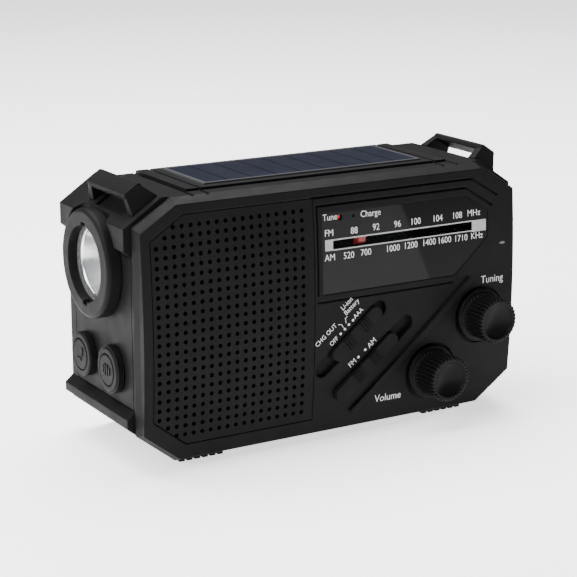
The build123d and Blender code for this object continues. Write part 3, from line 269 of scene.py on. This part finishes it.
# ---- materials -----------------------------------------------------------------
class Nodes:
    """Small builder for one material's nodes."""

    def __init__(self, name):
        self.material = bpy.data.materials.new(name)
        self.material.use_nodes = True
        self.tree = self.material.node_tree
        self.shader = self.tree.nodes["Principled BSDF"]
        self.coordinates = self.add("ShaderNodeTexCoord").outputs["Object"]

    def add(self, kind, **settings):
        node = self.tree.nodes.new(kind)
        for key, value in settings.items():
            setattr(node, key, value)
        return node

    def link(self, source, target):
        self.tree.links.new(source, target)
        return target

    def value(self, socket, amount):
        self.shader.inputs[socket].default_value = amount

    def noise(self, scale, detail=3.0, stretch=(1, 1, 1)):
        mapping = self.add("ShaderNodeMapping")
        mapping.inputs["Scale"].default_value = stretch
        self.link(self.coordinates, mapping.inputs["Vector"])
        noise = self.add("ShaderNodeTexNoise")
        noise.inputs["Scale"].default_value = scale
        noise.inputs["Detail"].default_value = detail
        self.link(mapping.outputs["Vector"], noise.inputs["Vector"])
        return noise.outputs["Fac"]

    def ramp(self, source, low, high, start=0.3, end=0.7):
        ramp = self.add("ShaderNodeValToRGB")
        ramp.color_ramp.elements[0].position = start
        ramp.color_ramp.elements[1].position = end
        ramp.color_ramp.elements[0].color = (*low, 1)
        ramp.color_ramp.elements[1].color = (*high, 1)
        self.link(source, ramp.inputs["Fac"])
        return ramp.outputs["Color"]

    def spread(self, source, low, high):
        spread = self.add("ShaderNodeMapRange")
        spread.inputs["From Min"].default_value = 0.3
        spread.inputs["From Max"].default_value = 0.7
        spread.inputs["To Min"].default_value = low
        spread.inputs["To Max"].default_value = high
        self.link(source, spread.inputs["Value"])
        return spread.outputs["Result"]

    def maths(self, operation, first, second=None):
        node = self.add("ShaderNodeMath", operation=operation)
        for index, entry in enumerate((first, second)):
            if entry is None:
                continue
            if isinstance(entry, (int, float)):
                node.inputs[index].default_value = entry
            else:
                self.link(entry, node.inputs[index])
        return node.outputs["Value"]

    def axes(self):
        split = self.add("ShaderNodeSeparateXYZ")
        self.link(self.coordinates, split.inputs["Vector"])
        return split.outputs["X"], split.outputs["Y"], split.outputs["Z"]

    def mix(self, factor, first, second):
        node = self.add("ShaderNodeMix", data_type='RGBA')
        self.link(factor, node.inputs["Factor"])
        for socket, entry in ((node.inputs[6], first), (node.inputs[7], second)):
            if isinstance(entry, tuple):
                socket.default_value = (*entry, 1)
            else:
                self.link(entry, socket)
        return node.outputs[2]

    def relief(self, source, strength, distance, soft=0.0):
        bump = self.add("ShaderNodeBump")
        bump.inputs["Strength"].default_value = strength
        bump.inputs["Distance"].default_value = distance
        self.link(source, bump.inputs["Height"])
        if soft:
            edge = self.add("ShaderNodeBevel", samples=6)
            edge.inputs["Radius"].default_value = soft
            self.link(edge.outputs["Normal"], bump.inputs["Normal"])
        self.link(bump.outputs["Normal"], self.shader.inputs["Normal"])


def tinted(colour, factor):
    return tuple(min(1.0, c * factor) for c in colour)


def moulded(name, colour, roughness=0.5, grain=2600.0, strength=0.16, soft=0.0, mottle=0.12):
    """Moulded plastic or rubber: fine spark grain, faint cloudiness and uneven sheen."""
    n = Nodes(name)
    colour = tuple(colour)
    n.link(n.ramp(n.noise(55, 4), tinted(colour, 1 - mottle), tinted(colour, 1 + mottle)),
           n.shader.inputs["Base Color"])
    n.link(n.spread(n.noise(140, 3), roughness - 0.05, roughness + 0.06), n.shader.inputs["Roughness"])
    n.value("Specular IOR Level", 0.05)
    n.relief(n.noise(grain, 2), strength, 0.00006, soft)
    return n.material


def metal(name, colour, roughness=0.25, stretch=(1, 1, 1), scale=900.0, strength=0.08):
    """Metal with drawn or polished marks running along one direction."""
    n = Nodes(name)
    n.value("Metallic", 1.0)
    n.link(n.ramp(n.noise(120, 4, stretch), tinted(colour, 0.86), tinted(colour, 1.08)),
           n.shader.inputs["Base Color"])
    n.link(n.spread(n.noise(scale, 3, stretch), roughness * 0.75, roughness * 1.3),
           n.shader.inputs["Roughness"])
    n.relief(n.noise(scale, 2, stretch), strength, 0.00003)
    return n.material


def board_finish():
    """Green lacquered laminate with faint tracks."""
    n = Nodes("circuit_board_lacquer")
    x, y, z = n.axes()
    track = n.maths('GREATER_THAN', n.maths('SINE', n.maths('MULTIPLY', n.maths('ADD', x, z), 2600.0)), 0.55)
    n.link(n.mix(track, (0.015, 0.10, 0.045), (0.04, 0.18, 0.08)), n.shader.inputs["Base Color"])
    n.link(n.spread(n.noise(300), 0.28, 0.42), n.shader.inputs["Roughness"])
    n.relief(n.noise(1500), 0.08, 0.00003)
    return n.material


def cell_finish():
    """Dark blue cells: a fine pale grid, darker divisions between cells and a pale border."""
    n = Nodes("solar_cells_under_sheet")
    low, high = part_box("solar_panel")
    x, y, z = n.axes()
    pitch = sizes().cell_pitch

    def stripe(axis, origin, spacing, width):
        phase = n.maths('FRACT',
                        n.maths('DIVIDE', n.maths('SUBTRACT', axis, origin - 1.0 * spacing), spacing))
        return n.maths('LESS_THAN', phase, width)

    fine_x = stripe(x, low.x, pitch / 6, 0.17)
    fine_y = stripe(y, low.y, 0.00175, 0.15)
    division = stripe(x, low.x - pitch * 0.04, pitch, 0.085)
    fine = n.maths('MAXIMUM', fine_x, fine_y)
    base = n.ramp(n.noise(60, 4), tinted(colours().solar, 0.75), tinted(colours().solar, 1.3))
    grid = n.mix(fine, base, (0.022, 0.026, 0.042))
    cells = n.mix(division, grid, (0.003, 0.0035, 0.008))
    edge = 0.0013
    inside_x = n.maths('LESS_THAN', n.maths('ABSOLUTE', n.maths('SUBTRACT', x, (low.x + high.x) / 2)),
                       (high.x - low.x) / 2 - edge)
    inside_y = n.maths('LESS_THAN', n.maths('ABSOLUTE', n.maths('SUBTRACT', y, (low.y + high.y) / 2)),
                       (high.y - low.y) / 2 - edge)
    n.link(n.mix(n.maths('MULTIPLY', inside_x, inside_y), (0.07, 0.07, 0.075), cells),
           n.shader.inputs["Base Color"])
    n.link(n.spread(n.noise(80), 0.14, 0.24), n.shader.inputs["Roughness"])
    n.relief(n.noise(900), 0.04, 0.00003)
    n.value("Coat Weight", 0.5)
    n.value("Coat Roughness", 0.06)
    return n.material


def dial_plate_painted_reflection():
    """Black plate behind the window, with a painted reflection: paler over its left part up to a slanting
    edge.
    """
    n = Nodes("black_dial_plate_with_painted_reflection")
    x, y, z = n.axes()
    # painted reflection: the plate's colour is paler left of a slanting line, standing in for light reflected
    # off it
    slant = n.maths('ADD', x, n.maths('MULTIPLY', z, 0.42))
    edge = n.add("ShaderNodeMapRange", interpolation_type='SMOOTHSTEP')
    middle = grid_x(24.0) + 0.42 * grid_z(6.5)
    edge.inputs["From Min"].default_value = middle - 0.004
    edge.inputs["From Max"].default_value = middle + 0.004
    n.link(slant, edge.inputs["Value"])
    dark = tuple(colours().dial)
    n.link(n.mix(edge.outputs["Result"],
                 n.ramp(n.noise(30), (0.015, 0.015, 0.016), (0.020, 0.020, 0.0215)), dark),
           n.shader.inputs["Base Color"])
    n.link(n.spread(n.noise(200), 0.28, 0.4), n.shader.inputs["Roughness"])
    n.relief(n.noise(300), 0.02, 0.00002)
    return n.material


def window_finish(name, colour, alpha, roughness=0.04):
    """Clear moulded window with a faint ripple."""
    n = Nodes(name)
    n.value("Base Color", (*colour, 1))
    n.value("Alpha", alpha)
    n.value("IOR", 1.49)
    n.link(n.spread(n.noise(90), roughness * 0.7, roughness * 1.6), n.shader.inputs["Roughness"])
    n.relief(n.noise(60), 0.01, 0.00002)
    return n.material


def chrome_bowl_painted_reflection():
    """Plated bowl with a painted reflection: bright bands across, duller towards the rim top and bottom."""
    n = Nodes("bowl_plating_with_painted_reflection")
    n.value("Metallic", 1.0)
    low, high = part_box("torch_reflector")
    x, y, z = n.axes()
    height = n.maths('DIVIDE', n.maths('SUBTRACT', z, (low.z + high.z) / 2), (high.z - low.z) / 2)
    # painted reflection: bright sine bands, dimmed towards the top and bottom rims, stand in for the
    # surroundings mirrored in the bowl
    wave = n.maths('ADD', n.maths('MULTIPLY', n.maths('SINE', n.maths('MULTIPLY', height, 9.0)), 0.10), 0.80)
    shade = n.maths('SUBTRACT', wave,
                    n.maths('MULTIPLY', n.maths('POWER', n.maths('ABSOLUTE', height), 4.0), 0.6))
    n.link(n.ramp(shade, (0.10, 0.10, 0.11), (1.0, 1.0, 1.0), 0.0, 1.0), n.shader.inputs["Base Color"])
    n.link(n.spread(n.noise(70), 0.16, 0.26), n.shader.inputs["Roughness"])
    n.relief(n.noise(260), 0.02, 0.00004)
    return n.material


def ink(name, colour):
    """Screen-printed ink, slightly broken at its surface."""
    n = Nodes(name)
    n.link(n.ramp(n.noise(900, 4), tinted(tuple(colour), 0.88), tinted(tuple(colour), 1.1)),
           n.shader.inputs["Base Color"])
    n.link(n.spread(n.noise(500), 0.45, 0.65), n.shader.inputs["Roughness"])
    return n.material


def wrapped(name, colour, band):
    """Printed shrink sleeve with a band of another colour along X."""
    n = Nodes(name)
    x, y, z = n.axes()
    stripe = n.maths('GREATER_THAN', n.maths('FRACT', n.maths('MULTIPLY', x, 22.0)), 0.72)
    n.link(n.mix(stripe, colour, band), n.shader.inputs["Base Color"])
    n.link(n.spread(n.noise(200), 0.22, 0.36), n.shader.inputs["Roughness"])
    n.relief(n.noise(1200), 0.05, 0.00003)
    return n.material


def lamp_and_painted_glow(name, colour, glow):
    """Translucent lamp body with a weak glow; where it colours the pointer, which is no lamp, the glow is
    painted light.
    """
    n = Nodes(name)
    n.link(n.ramp(n.noise(400), tinted(colour, 0.85), tinted(colour, 1.1)), n.shader.inputs["Base Color"])
    # the glow is a lamp's own only on lamp parts; on the pointer it is painted light
    n.value("Emission Color", (*colour, 1))
    n.value("Emission Strength", glow)
    n.link(n.spread(n.noise(200), 0.2, 0.35), n.shader.inputs["Roughness"])
    return n.material


def scale_window_painted_reflection():
    """Window painted black behind except along the scale slot and over the two lamps, and paler over its left
    part up to a slanting edge: a painted reflection."""
    n = Nodes("scale_window_with_painted_reflection")
    x, y, z = n.axes()
    low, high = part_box("indicator_lamps")

    def between(axis, start, end):
        return n.maths('MULTIPLY', n.maths('GREATER_THAN', axis, start), n.maths('LESS_THAN', axis, end))

    slot = n.maths('MULTIPLY', between(x, grid_x(12.25), grid_x(30.33)),
                   between(z, grid_z(6.46), grid_z(7.41)))
    middle = (low.z + high.z) / 2
    lamp_left = n.maths('MULTIPLY', between(x, low.x + 0.0004, low.x + 0.0026),
                        between(z, middle - 0.0010, middle + 0.0010))
    lamp_right = n.maths('MULTIPLY', between(x, high.x - 0.0017, high.x - 0.0007),
                         between(z, middle - 0.0005, middle + 0.0005))
    clear = n.maths('MAXIMUM', slot, n.maths('MAXIMUM', lamp_left, lamp_right))
    n.link(n.maths('SUBTRACT', 1.0, n.maths('MULTIPLY', clear, 0.9)), n.shader.inputs["Alpha"])
    # painted reflection: the window's colour is paler left of a slanting line, standing in for light
    # reflected off it
    slant = n.maths('ADD', x, n.maths('MULTIPLY', z, 0.42))
    edge = n.add("ShaderNodeMapRange", interpolation_type='SMOOTHSTEP')
    centre = grid_x(22.6) + 0.42 * grid_z(6.5)
    edge.inputs["From Min"].default_value = centre - 0.0012
    edge.inputs["From Max"].default_value = centre + 0.0012
    n.link(slant, edge.inputs["Value"])
    # this pale ramp is the painted reflection; the near-black right of the edge is the window's own black
    # back paint
    pale = n.ramp(n.noise(30), (0.010, 0.010, 0.0105), (0.013, 0.013, 0.0138))
    n.link(n.mix(edge.outputs["Result"], pale, (0.0012, 0.0012, 0.0015)), n.shader.inputs["Base Color"])
    n.value("Specular IOR Level", 0.08)
    n.link(n.spread(n.noise(90), 0.10, 0.16), n.shader.inputs["Roughness"])
    n.relief(n.noise(60), 0.01, 0.00002)
    return n.material


def indicator_finish():
    """Translucent lamp bodies: the left one red and lit, the right one grey and unlit."""
    n = Nodes("red_lamp_body")
    low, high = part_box("indicator_lamps")
    x, y, z = n.axes()
    unlit = n.maths('GREATER_THAN', x, (low.x + high.x) / 2)
    tint = n.mix(unlit, n.ramp(n.noise(400), (0.5, 0.02, 0.01), (0.65, 0.03, 0.015)), (0.05, 0.05, 0.05))
    n.link(tint, n.shader.inputs["Base Color"])
    n.link(tint, n.shader.inputs["Emission Color"])
    n.value("Emission Strength", 0.9)
    n.link(n.spread(n.noise(200), 0.2, 0.35), n.shader.inputs["Roughness"])
    return n.material


def slot_finishes():
    """One finish for each material slot of the record."""
    soft = sizes().edge_softness
    case, knob = tuple(colours().case), tuple(colours().knob)
    return {
        "black_plastic": moulded("moulded_black", case, 0.50, soft=soft),
        "grille_plastic": moulded("grille_black", tinted(case, 0.95), 0.50),
        "knob_plastic": moulded("knob_black", knob, 0.34, strength=0.05),
        "gear_plastic": moulded("natural_acetal", (0.72, 0.70, 0.64), 0.4, mottle=0.04),
        "grey_plastic": moulded("grey_moulding", (0.17, 0.17, 0.18), 0.5),
        # the window's paler left part is a painted reflection
        "clear_window": scale_window_painted_reflection(),
        "clear_lens": window_finish("torch_window", (0.9, 0.92, 0.95), 0.06),
        # the dial plate's paler left part is a painted reflection
        "dial_print": dial_plate_painted_reflection(),
        # the pointer is no lamp: its weak glow is painted light
        "pointer_red": lamp_and_painted_glow("red_pointer_with_painted_glow", (0.42, 0.025, 0.025), 0.25),
        "lamp_red": indicator_finish(),
        "cord_nylon": moulded("braided_nylon", (0.68, 0.64, 0.55), 0.8, grain=5000, strength=0.5),
        # the bowl's bright bands and dull rims are a painted reflection
        "mirror_chrome": chrome_bowl_painted_reflection(),
        "lamp_white": lamp_and_painted_glow("white_lamp_board", (0.85, 0.85, 0.78), 0.1),
        "steel": metal("blackened_steel", (0.16, 0.16, 0.17), 0.36),
        "antenna_chrome": metal("polished_tube", (0.78, 0.78, 0.80), 0.14, (0.05, 1, 1)),
        "nickel": metal("nickel_strip", (0.66, 0.63, 0.58), 0.3, (1, 1, 0.1)),
        "solar_cells": cell_finish(),
        "circuit_board": board_finish(),
        "paper_cone": moulded("pressed_paper", (0.012, 0.012, 0.012), 0.95, grain=1400, strength=0.5),
        "ferrite": moulded("sintered_ferrite", (0.06, 0.06, 0.065), 0.7),
        "cell_wrap": wrapped("blue_sleeve", (0.03, 0.10, 0.28), (0.02, 0.07, 0.2)),
        "aaa_wrap": wrapped("grey_sleeve", (0.10, 0.10, 0.11), (0.5, 0.36, 0.12)),
        "rubber_black": moulded("rubber_black_matte", (0.018, 0.018, 0.018), 0.8, grain=1800, strength=0.25),
        "deck_plastic": moulded("deck_grey_black", tinted(case, 1.5), 0.42, soft=soft * 0.5),
    }


# ---- operators -----------------------------------------------------------------
class RADIO_OT_finishes(Operator):
    """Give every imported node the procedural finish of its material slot"""
    bl_idname = "radio.finishes"
    bl_label = "Finishes"

    def execute(self, context):
        finishes = slot_finishes()
        for part in frame["record"]["subparts"]:
            node = frame["nodes"][part["node"]]
            node.data.materials.clear()
            node.data.materials.append(finishes[part["material_slot"]])
        return {'FINISHED'}


class RADIO_OT_knobs(Operator):
    """Turned tuning and volume knobs with fluted barrels and dished faces"""
    bl_idname = "radio.knobs"
    bl_label = "Knobs"

    def execute(self, context):
        finish = bpy.data.materials["knob_black"]
        for node, body in (("tuning_knob", "tuning"), ("volume_knob", "volume")):
            low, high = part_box(node)
            centre = ((low.x + high.x) / 2, high.y, (low.z + high.z) / 2)
            piece = self.turn(node + "_turned", centre, (high.x - low.x) / 2, high.y - low.y)
            piece.data.materials.append(finish)
            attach(piece, body)
            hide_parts(node)
        return {'FINISHED'}

    def turn(self, name, centre, skirt, length):
        """The profile runs up the skirt, in over its rounded shoulder, along the barrel, round the front edge
        and down the dish, a circle arc; the barrel's radius is cut by the squared half cosine of the flutes'
        angle."""
        barrel = skirt * 0.838
        step = 2.4 * MM
        lip = 0.55 * MM
        bend = np.linspace(0, pi / 2, 5)
        radius, height = [skirt - 0.15 * MM], [0.0]
        radius += [skirt, skirt]
        height += [0.15 * MM, step - lip]
        radius += list(skirt - lip + lip * np.cos(bend[1:]))
        height += list(step - lip + lip * np.sin(bend[1:]))
        radius += [barrel + 0.35 * MM, barrel]
        height += [step, step + 0.3 * MM]
        along = np.linspace(step + 0.9 * MM, length - lip, 9)
        radius += [barrel] * 9
        height += list(along)
        radius += list(barrel - lip + lip * np.cos(bend[1:]))
        height += list(length - lip + lip * np.sin(bend[1:]))
        inner = barrel - 2.0 * MM
        radius += [inner + 0.2 * MM, inner + 0.05 * MM]
        height += [length, length - 0.15 * MM]
        spread = np.linspace(1, 0.02, 18)
        radius += list(inner * spread)
        height += list(length - 0.45 * MM - sizes().dish_depth * (1 - spread ** 2))
        radius, height = np.array(radius), np.array(height)
        fluted = ((height > step + 0.5 * MM) & (radius > barrel - 0.5 * MM)).astype(float)
        fluted[np.argmax(height > step + 0.5 * MM)] *= 0.7

        def cut(angle):
            wave = (0.5 - 0.5 * np.cos(angle * sizes().flutes)) ** 1.6
            return sizes().flute_depth * fluted[:, None] * wave[None, :]

        return closed_turning(name, radius, height, centre, "-Y", sizes().flutes * 10, cut)


class RADIO_OT_torch(Operator):
    """Smooth plated bowl behind the torch window"""
    bl_idname = "radio.torch"
    bl_label = "Torch bowl"

    def execute(self, context):
        low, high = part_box("torch_reflector")
        centre = (low.x, (low.y + high.y) / 2, (low.z + high.z) / 2)
        outer = (high.z - low.z) / 2
        rim = outer - 0.0009
        depth = high.x - low.x - 0.0009
        reach = np.linspace(0.19, 1.0, 40)
        inside_r, inside_h = rim * reach, depth * (1 - reach ** 2)
        outside_r, outside_h = outer * reach, (depth + 0.0009) * (1 - reach ** 2)
        radius = np.concatenate([inside_r, outside_r[::-1]])
        height = np.concatenate([inside_h, outside_h[::-1]])
        steps = 96
        rings = turned_points(radius, height, centre, "X", steps)
        piece = mesh_piece("torch_bowl", rings.reshape(-1, 3), grid_faces(len(radius), steps, True))
        faced(piece)
        piece.data.materials.append(bpy.data.materials["bowl_plating_with_painted_reflection"])
        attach(piece, "case")
        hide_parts("torch_reflector")
        return {'FINISHED'}


class RADIO_OT_window(Operator):
    """Clear dial window, its back face held just off the scale plate"""
    bl_idname = "radio.window"
    bl_label = "Dial window"

    def execute(self, context):
        mesh = frame["nodes"]["dial_lens"].data.copy()
        points = np.zeros(len(mesh.vertices) * 3)
        mesh.vertices.foreach_get("co", points)
        points = points.reshape(-1, 3)
        points[points[:, 1] > LENS_HIGH.y - 0.00001, 1] -= 0.0003
        mesh.vertices.foreach_set("co", points.ravel())
        mesh.name = "dial_window_clear"
        piece = bpy.data.objects.new("dial_window_clear", mesh)
        context.scene.collection.objects.link(piece)
        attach(piece, "case")
        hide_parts("dial_lens")
        return {'FINISHED'}


class RADIO_OT_pointer(Operator):
    """Red flag on the pointer, narrower than its slide block"""
    bl_idname = "radio.pointer"
    bl_label = "Pointer"

    def execute(self, context):
        low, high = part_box("tuning_pointer")
        middle = (low.x + high.x) / 2 + 0.0008
        x0, x1 = middle - 0.00155, middle + 0.00155
        z0, z1 = grid_z(6.60), grid_z(7.34)
        faces = [[0, 1, 2, 3], [7, 6, 5, 4], [0, 4, 5, 1], [1, 5, 6, 2], [2, 6, 7, 3], [3, 7, 4, 0]]
        blocks = ((x0, x1, low.y, low.y + 0.0022, z0, z1),
                  (x0, x1, low.y + 0.002, low.y + 0.0039, low.z, high.z),
                  (x0, x1, low.y + 0.002, high.y, high.z - 0.0011, high.z))
        shapes = []
        for a, b, c, d, e, f in blocks:
            shapes.append((np.array([[a, c, e], [b, c, e], [b, c, f], [a, c, f],
                                     [a, d, e], [b, d, e], [b, d, f], [a, d, f]]), faces))
        piece = joined("pointer_flag", shapes)
        piece.data.materials.append(bpy.data.materials["red_pointer_with_painted_glow"])
        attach(piece, "pointer")
        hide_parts("tuning_pointer")
        return {'FINISHED'}


class RADIO_OT_scale(Operator):
    """Printed figures, bars and end blocks on the dial window"""
    bl_idname = "radio.scale"
    bl_label = "Scale print"

    def execute(self, context):
        size = sizes().figure_height

        def window(z):
            return crown_depth(z) + 0.00025

        rows = [("FM", 11.79, 8.24), ("88", 14.93, 8.17), ("92", 17.72, 8.23), ("96", 20.48, 8.24),
                ("100", 22.83, 8.25), ("104", 25.74, 8.26), ("108", 28.35, 8.30), ("MHz", 30.60, 8.35),
                ("AM", 11.84, 5.61), ("520", 14.19, 5.59), ("700", 16.36, 5.65), ("1000", 19.81, 5.67),
                ("1200", 22.14, 5.72), ("1400", 24.55, 5.77), ("1600", 26.61, 5.75), ("1710", 28.82, 5.71),
                ("KHz", 31.0, 5.76), ("Tune", 11.97, 9.91), ("Charge", 17.08, 9.80)]
        parts = []
        for text, column, row in rows:
            scale = 0.96 if row > 9 else 1.0
            parts.append(lettering(text, size * scale, grid_x(column), grid_z(row),
                                   depth=window, stretch=0.9))
        bars = ((11.27, 12.25, 6.36, 7.55), (30.33, 32.24, 6.25, 7.52), (12.2, 30.4, 7.41, 7.55),
                (12.2, 30.4, 6.33, 6.46))
        frame_parts = []
        for x0, x1, z0, z1 in bars:
            frame_parts.append(plate(grid_x(x0), grid_x(x1), grid_z(z0), grid_z(z1), depth=window))
        for name, shapes, shade in (("scale_figures", parts, 1.0), ("scale_frame", frame_parts, 0.5)):
            piece = joined(name, shapes)
            piece.data.materials.append(ink(name + "_ink", tinted(colours().print_ink, shade)))
            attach(piece, "case")
        return {'FINISHED'}


class RADIO_OT_labels(Operator):
    """Function words, position dots and lead lines on the case front"""
    bl_idname = "radio.labels"
    bl_label = "Front labels"

    def execute(self, context):
        size = sizes().label_height
        turn = SWITCH_ANGLE
        parts = [lettering("Tuning", size * 1.12, grid_x(33.1), grid_z(0.62)),
                 lettering("Volume", size * 1.12, grid_x(19.61), grid_z(-11.16))]
        words = (("OFF", 12.30, -3.58, 0.66), ("CHG OUT", 11.28, -2.78, 0.70), ("Li-ion", 13.85, 0.38, 0.74),
                 ("Battery", 14.46, -0.06, 0.74), ("AAA", 15.32, -0.88, 0.68), ("FM", 14.72, -6.42, 0.84),
                 ("AM", 17.15, -4.50, 0.84))
        for text, column, row, scale in words:
            parts.append(lettering(text, size * scale, grid_x(column), grid_z(row), turn))
        dots = ((13.12, -2.87), (13.63, -2.42), (14.13, -1.98), (14.65, -1.57),
                (15.47, -5.85), (16.31, -5.14))
        for column, row in dots:
            parts.append(spot(grid_x(column), grid_z(row), 0.50 * MM, 0.50 * MM))
        leads = (((12.80, -1.80), (13.20, -1.84), (13.42, -2.18)),
                 ((13.78, -1.75), (13.68, -1.24), (13.90, -1.05)))
        for lead in leads:
            places = [(grid_x(column), grid_z(row)) for column, row in lead]
            parts += [stroke(start, end, 0.2 * MM) for start, end in zip(places, places[1:])]
        mark = [spot(grid_x(34.45), grid_z(4.59), 1.3 * MM, 0.5 * MM)]
        for name, shapes, shade in (("front_labels", parts, 1.0), ("oval_mark", mark, 0.15)):
            piece = joined(name, shapes)
            piece.data.materials.append(ink(name + "_ink", tinted(colours().print_ink, shade)))
            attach(piece, "case")
        return {'FINISHED'}


class RADIO_OT_grip(Operator):
    """Barrel-shaped crank grip with shallow flutes"""
    bl_idname = "radio.grip"
    bl_label = "Crank grip"

    def execute(self, context):
        low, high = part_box("crank_grip")
        radius = (high.x - low.x) / 2
        length = high.z - low.z
        bore = 0.00158
        t = np.linspace(-1, 1, 40)
        outside = radius * (1 - 0.10 * t ** 2) * (1 - 0.16 * np.abs(t) ** 14)
        r = np.concatenate([outside, np.full(2, bore)])
        h = np.concatenate([(t + 1) / 2 * length, [length, 0.0]])
        steps = 120
        angle = np.linspace(0, 2 * pi, steps, endpoint=False)
        flute = 0.00022 * (0.5 - 0.5 * np.cos(angle * 12))[None, :]
        flute = flute * (np.abs(h / length - 0.5) < 0.42)[:, None]
        flute[-2:] = 0
        rr = r[:, None] - flute
        rings = np.stack([rr * np.cos(angle), rr * np.sin(angle), h[:, None] * np.ones(steps)], -1)
        rings += np.array([(low.x + high.x) / 2, (low.y + high.y) / 2, low.z])
        piece = faced(mesh_piece("grip_barrel", rings.reshape(-1, 3), grid_faces(len(r), steps, True)))
        piece.data.materials.append(bpy.data.materials["knob_black"])
        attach(piece, "grip")
        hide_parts("crank_grip")
        return {'FINISHED'}


class RADIO_OT_stage(Operator):
    """Pale floor, soft studio light and the camera"""
    bl_idname = "radio.stage"
    bl_label = "Stage"

    def execute(self, context):
        reach = 3.0
        floor = mesh_piece("studio_floor",
                           np.array([[-reach, -reach, 0], [reach, -reach, 0], [reach, reach, 0],
                                                     [-reach, reach, 0]]), [[0, 1, 2, 3]])
        n = Nodes("studio_paper")
        tone = tuple(colours().floor)
        n.link(n.ramp(n.noise(3), tinted(tone, 0.99), tinted(tone, 1.01)), n.shader.inputs["Base Color"])
        n.value("Roughness", 0.9)
        n.value("Emission Color", (1, 1, 1, 1))
        n.value("Emission Strength", 1.4)
        floor.data.materials.append(n.material)
        world = bpy.data.worlds.new("studio")
        world.use_nodes = True
        world.node_tree.nodes["Background"].inputs["Color"].default_value = (1, 1, 1, 1)
        world.node_tree.nodes["Background"].inputs["Strength"].default_value = 0.05
        context.scene.world = world
        self.lamp("left_panel", (-0.95, -0.15, 0.75), (0.8, 0.8), 20.0)
        self.lamp("top_panel", (0.0, 0.35, 1.15), (1.3, 0.9), 52.0)
        self.camera()
        return {'FINISHED'}

    def lamp(self, name, place, size, power):
        data = bpy.data.lights.new(name, 'AREA')
        data.shape = 'RECTANGLE'
        data.size, data.size_y = size
        data.energy = power
        light = bpy.data.objects.new(name, data)
        light.location = place
        light.rotation_euler = (Vector((0, 0, 0.05)) - Vector(place)).to_track_quat('-Z', 'Y').to_euler()
        bpy.context.scene.collection.objects.link(light)

    def camera(self):
        turn, rise = radians(-30.723), radians(14.734)
        aim = Vector((MIDDLE_X - 0.02096, FRONT + 0.00175, 0.06185))
        away = Vector((sin(turn) * cos(rise), -cos(turn) * cos(rise), sin(rise)))
        data = bpy.data.cameras.new("camera")
        data.lens = 111.83
        data.sensor_width = 36.0
        data.clip_start = 0.01
        camera = bpy.data.objects.new("camera", data)
        camera.location = aim + away * 0.65668
        camera.rotation_euler = (-away).to_track_quat('-Z', 'Y').to_euler()
        bpy.context.scene.collection.objects.link(camera)
        bpy.context.scene.camera = camera


class RADIO_PT_panel(Panel):
    """Lists the radio's steps and its sizes and colours"""
    bl_idname = "RADIO_PT_panel"
    bl_label = "Crank radio"
    bl_space_type = 'VIEW_3D'
    bl_region_type = 'UI'
    bl_category = "Radio"

    def draw(self, context):
        for step in STEPS:
            self.layout.operator(step.bl_idname)
        for group in (context.scene.radio_sizes, context.scene.radio_colours):
            for key in group.bl_rna.properties.keys():
                if key not in ("rna_type", "name"):
                    self.layout.prop(group, key)


STEPS = (RADIO_OT_finishes, RADIO_OT_knobs, RADIO_OT_torch, RADIO_OT_window, RADIO_OT_pointer,
         RADIO_OT_scale, RADIO_OT_labels, RADIO_OT_grip,
         RADIO_OT_stage)
CLASSES = (RadioSizes, RadioColours) + STEPS + (RADIO_PT_panel,)


def register():
    for entry in CLASSES:
        bpy.utils.register_class(entry)
    bpy.types.Scene.radio_sizes = PointerProperty(type=RadioSizes)
    bpy.types.Scene.radio_colours = PointerProperty(type=RadioColours)


def unregister():
    del bpy.types.Scene.radio_colours
    del bpy.types.Scene.radio_sizes
    for entry in reversed(CLASSES):
        bpy.utils.unregister_class(entry)


def main():
    register()
    bpy.ops.radio.finishes()
    bpy.ops.radio.knobs()
    bpy.ops.radio.torch()
    bpy.ops.radio.window()
    bpy.ops.radio.pointer()
    bpy.ops.radio.scale()
    bpy.ops.radio.labels()
    bpy.ops.radio.grip()
    bpy.ops.radio.stage()


if __name__ == "__main__":
    main()
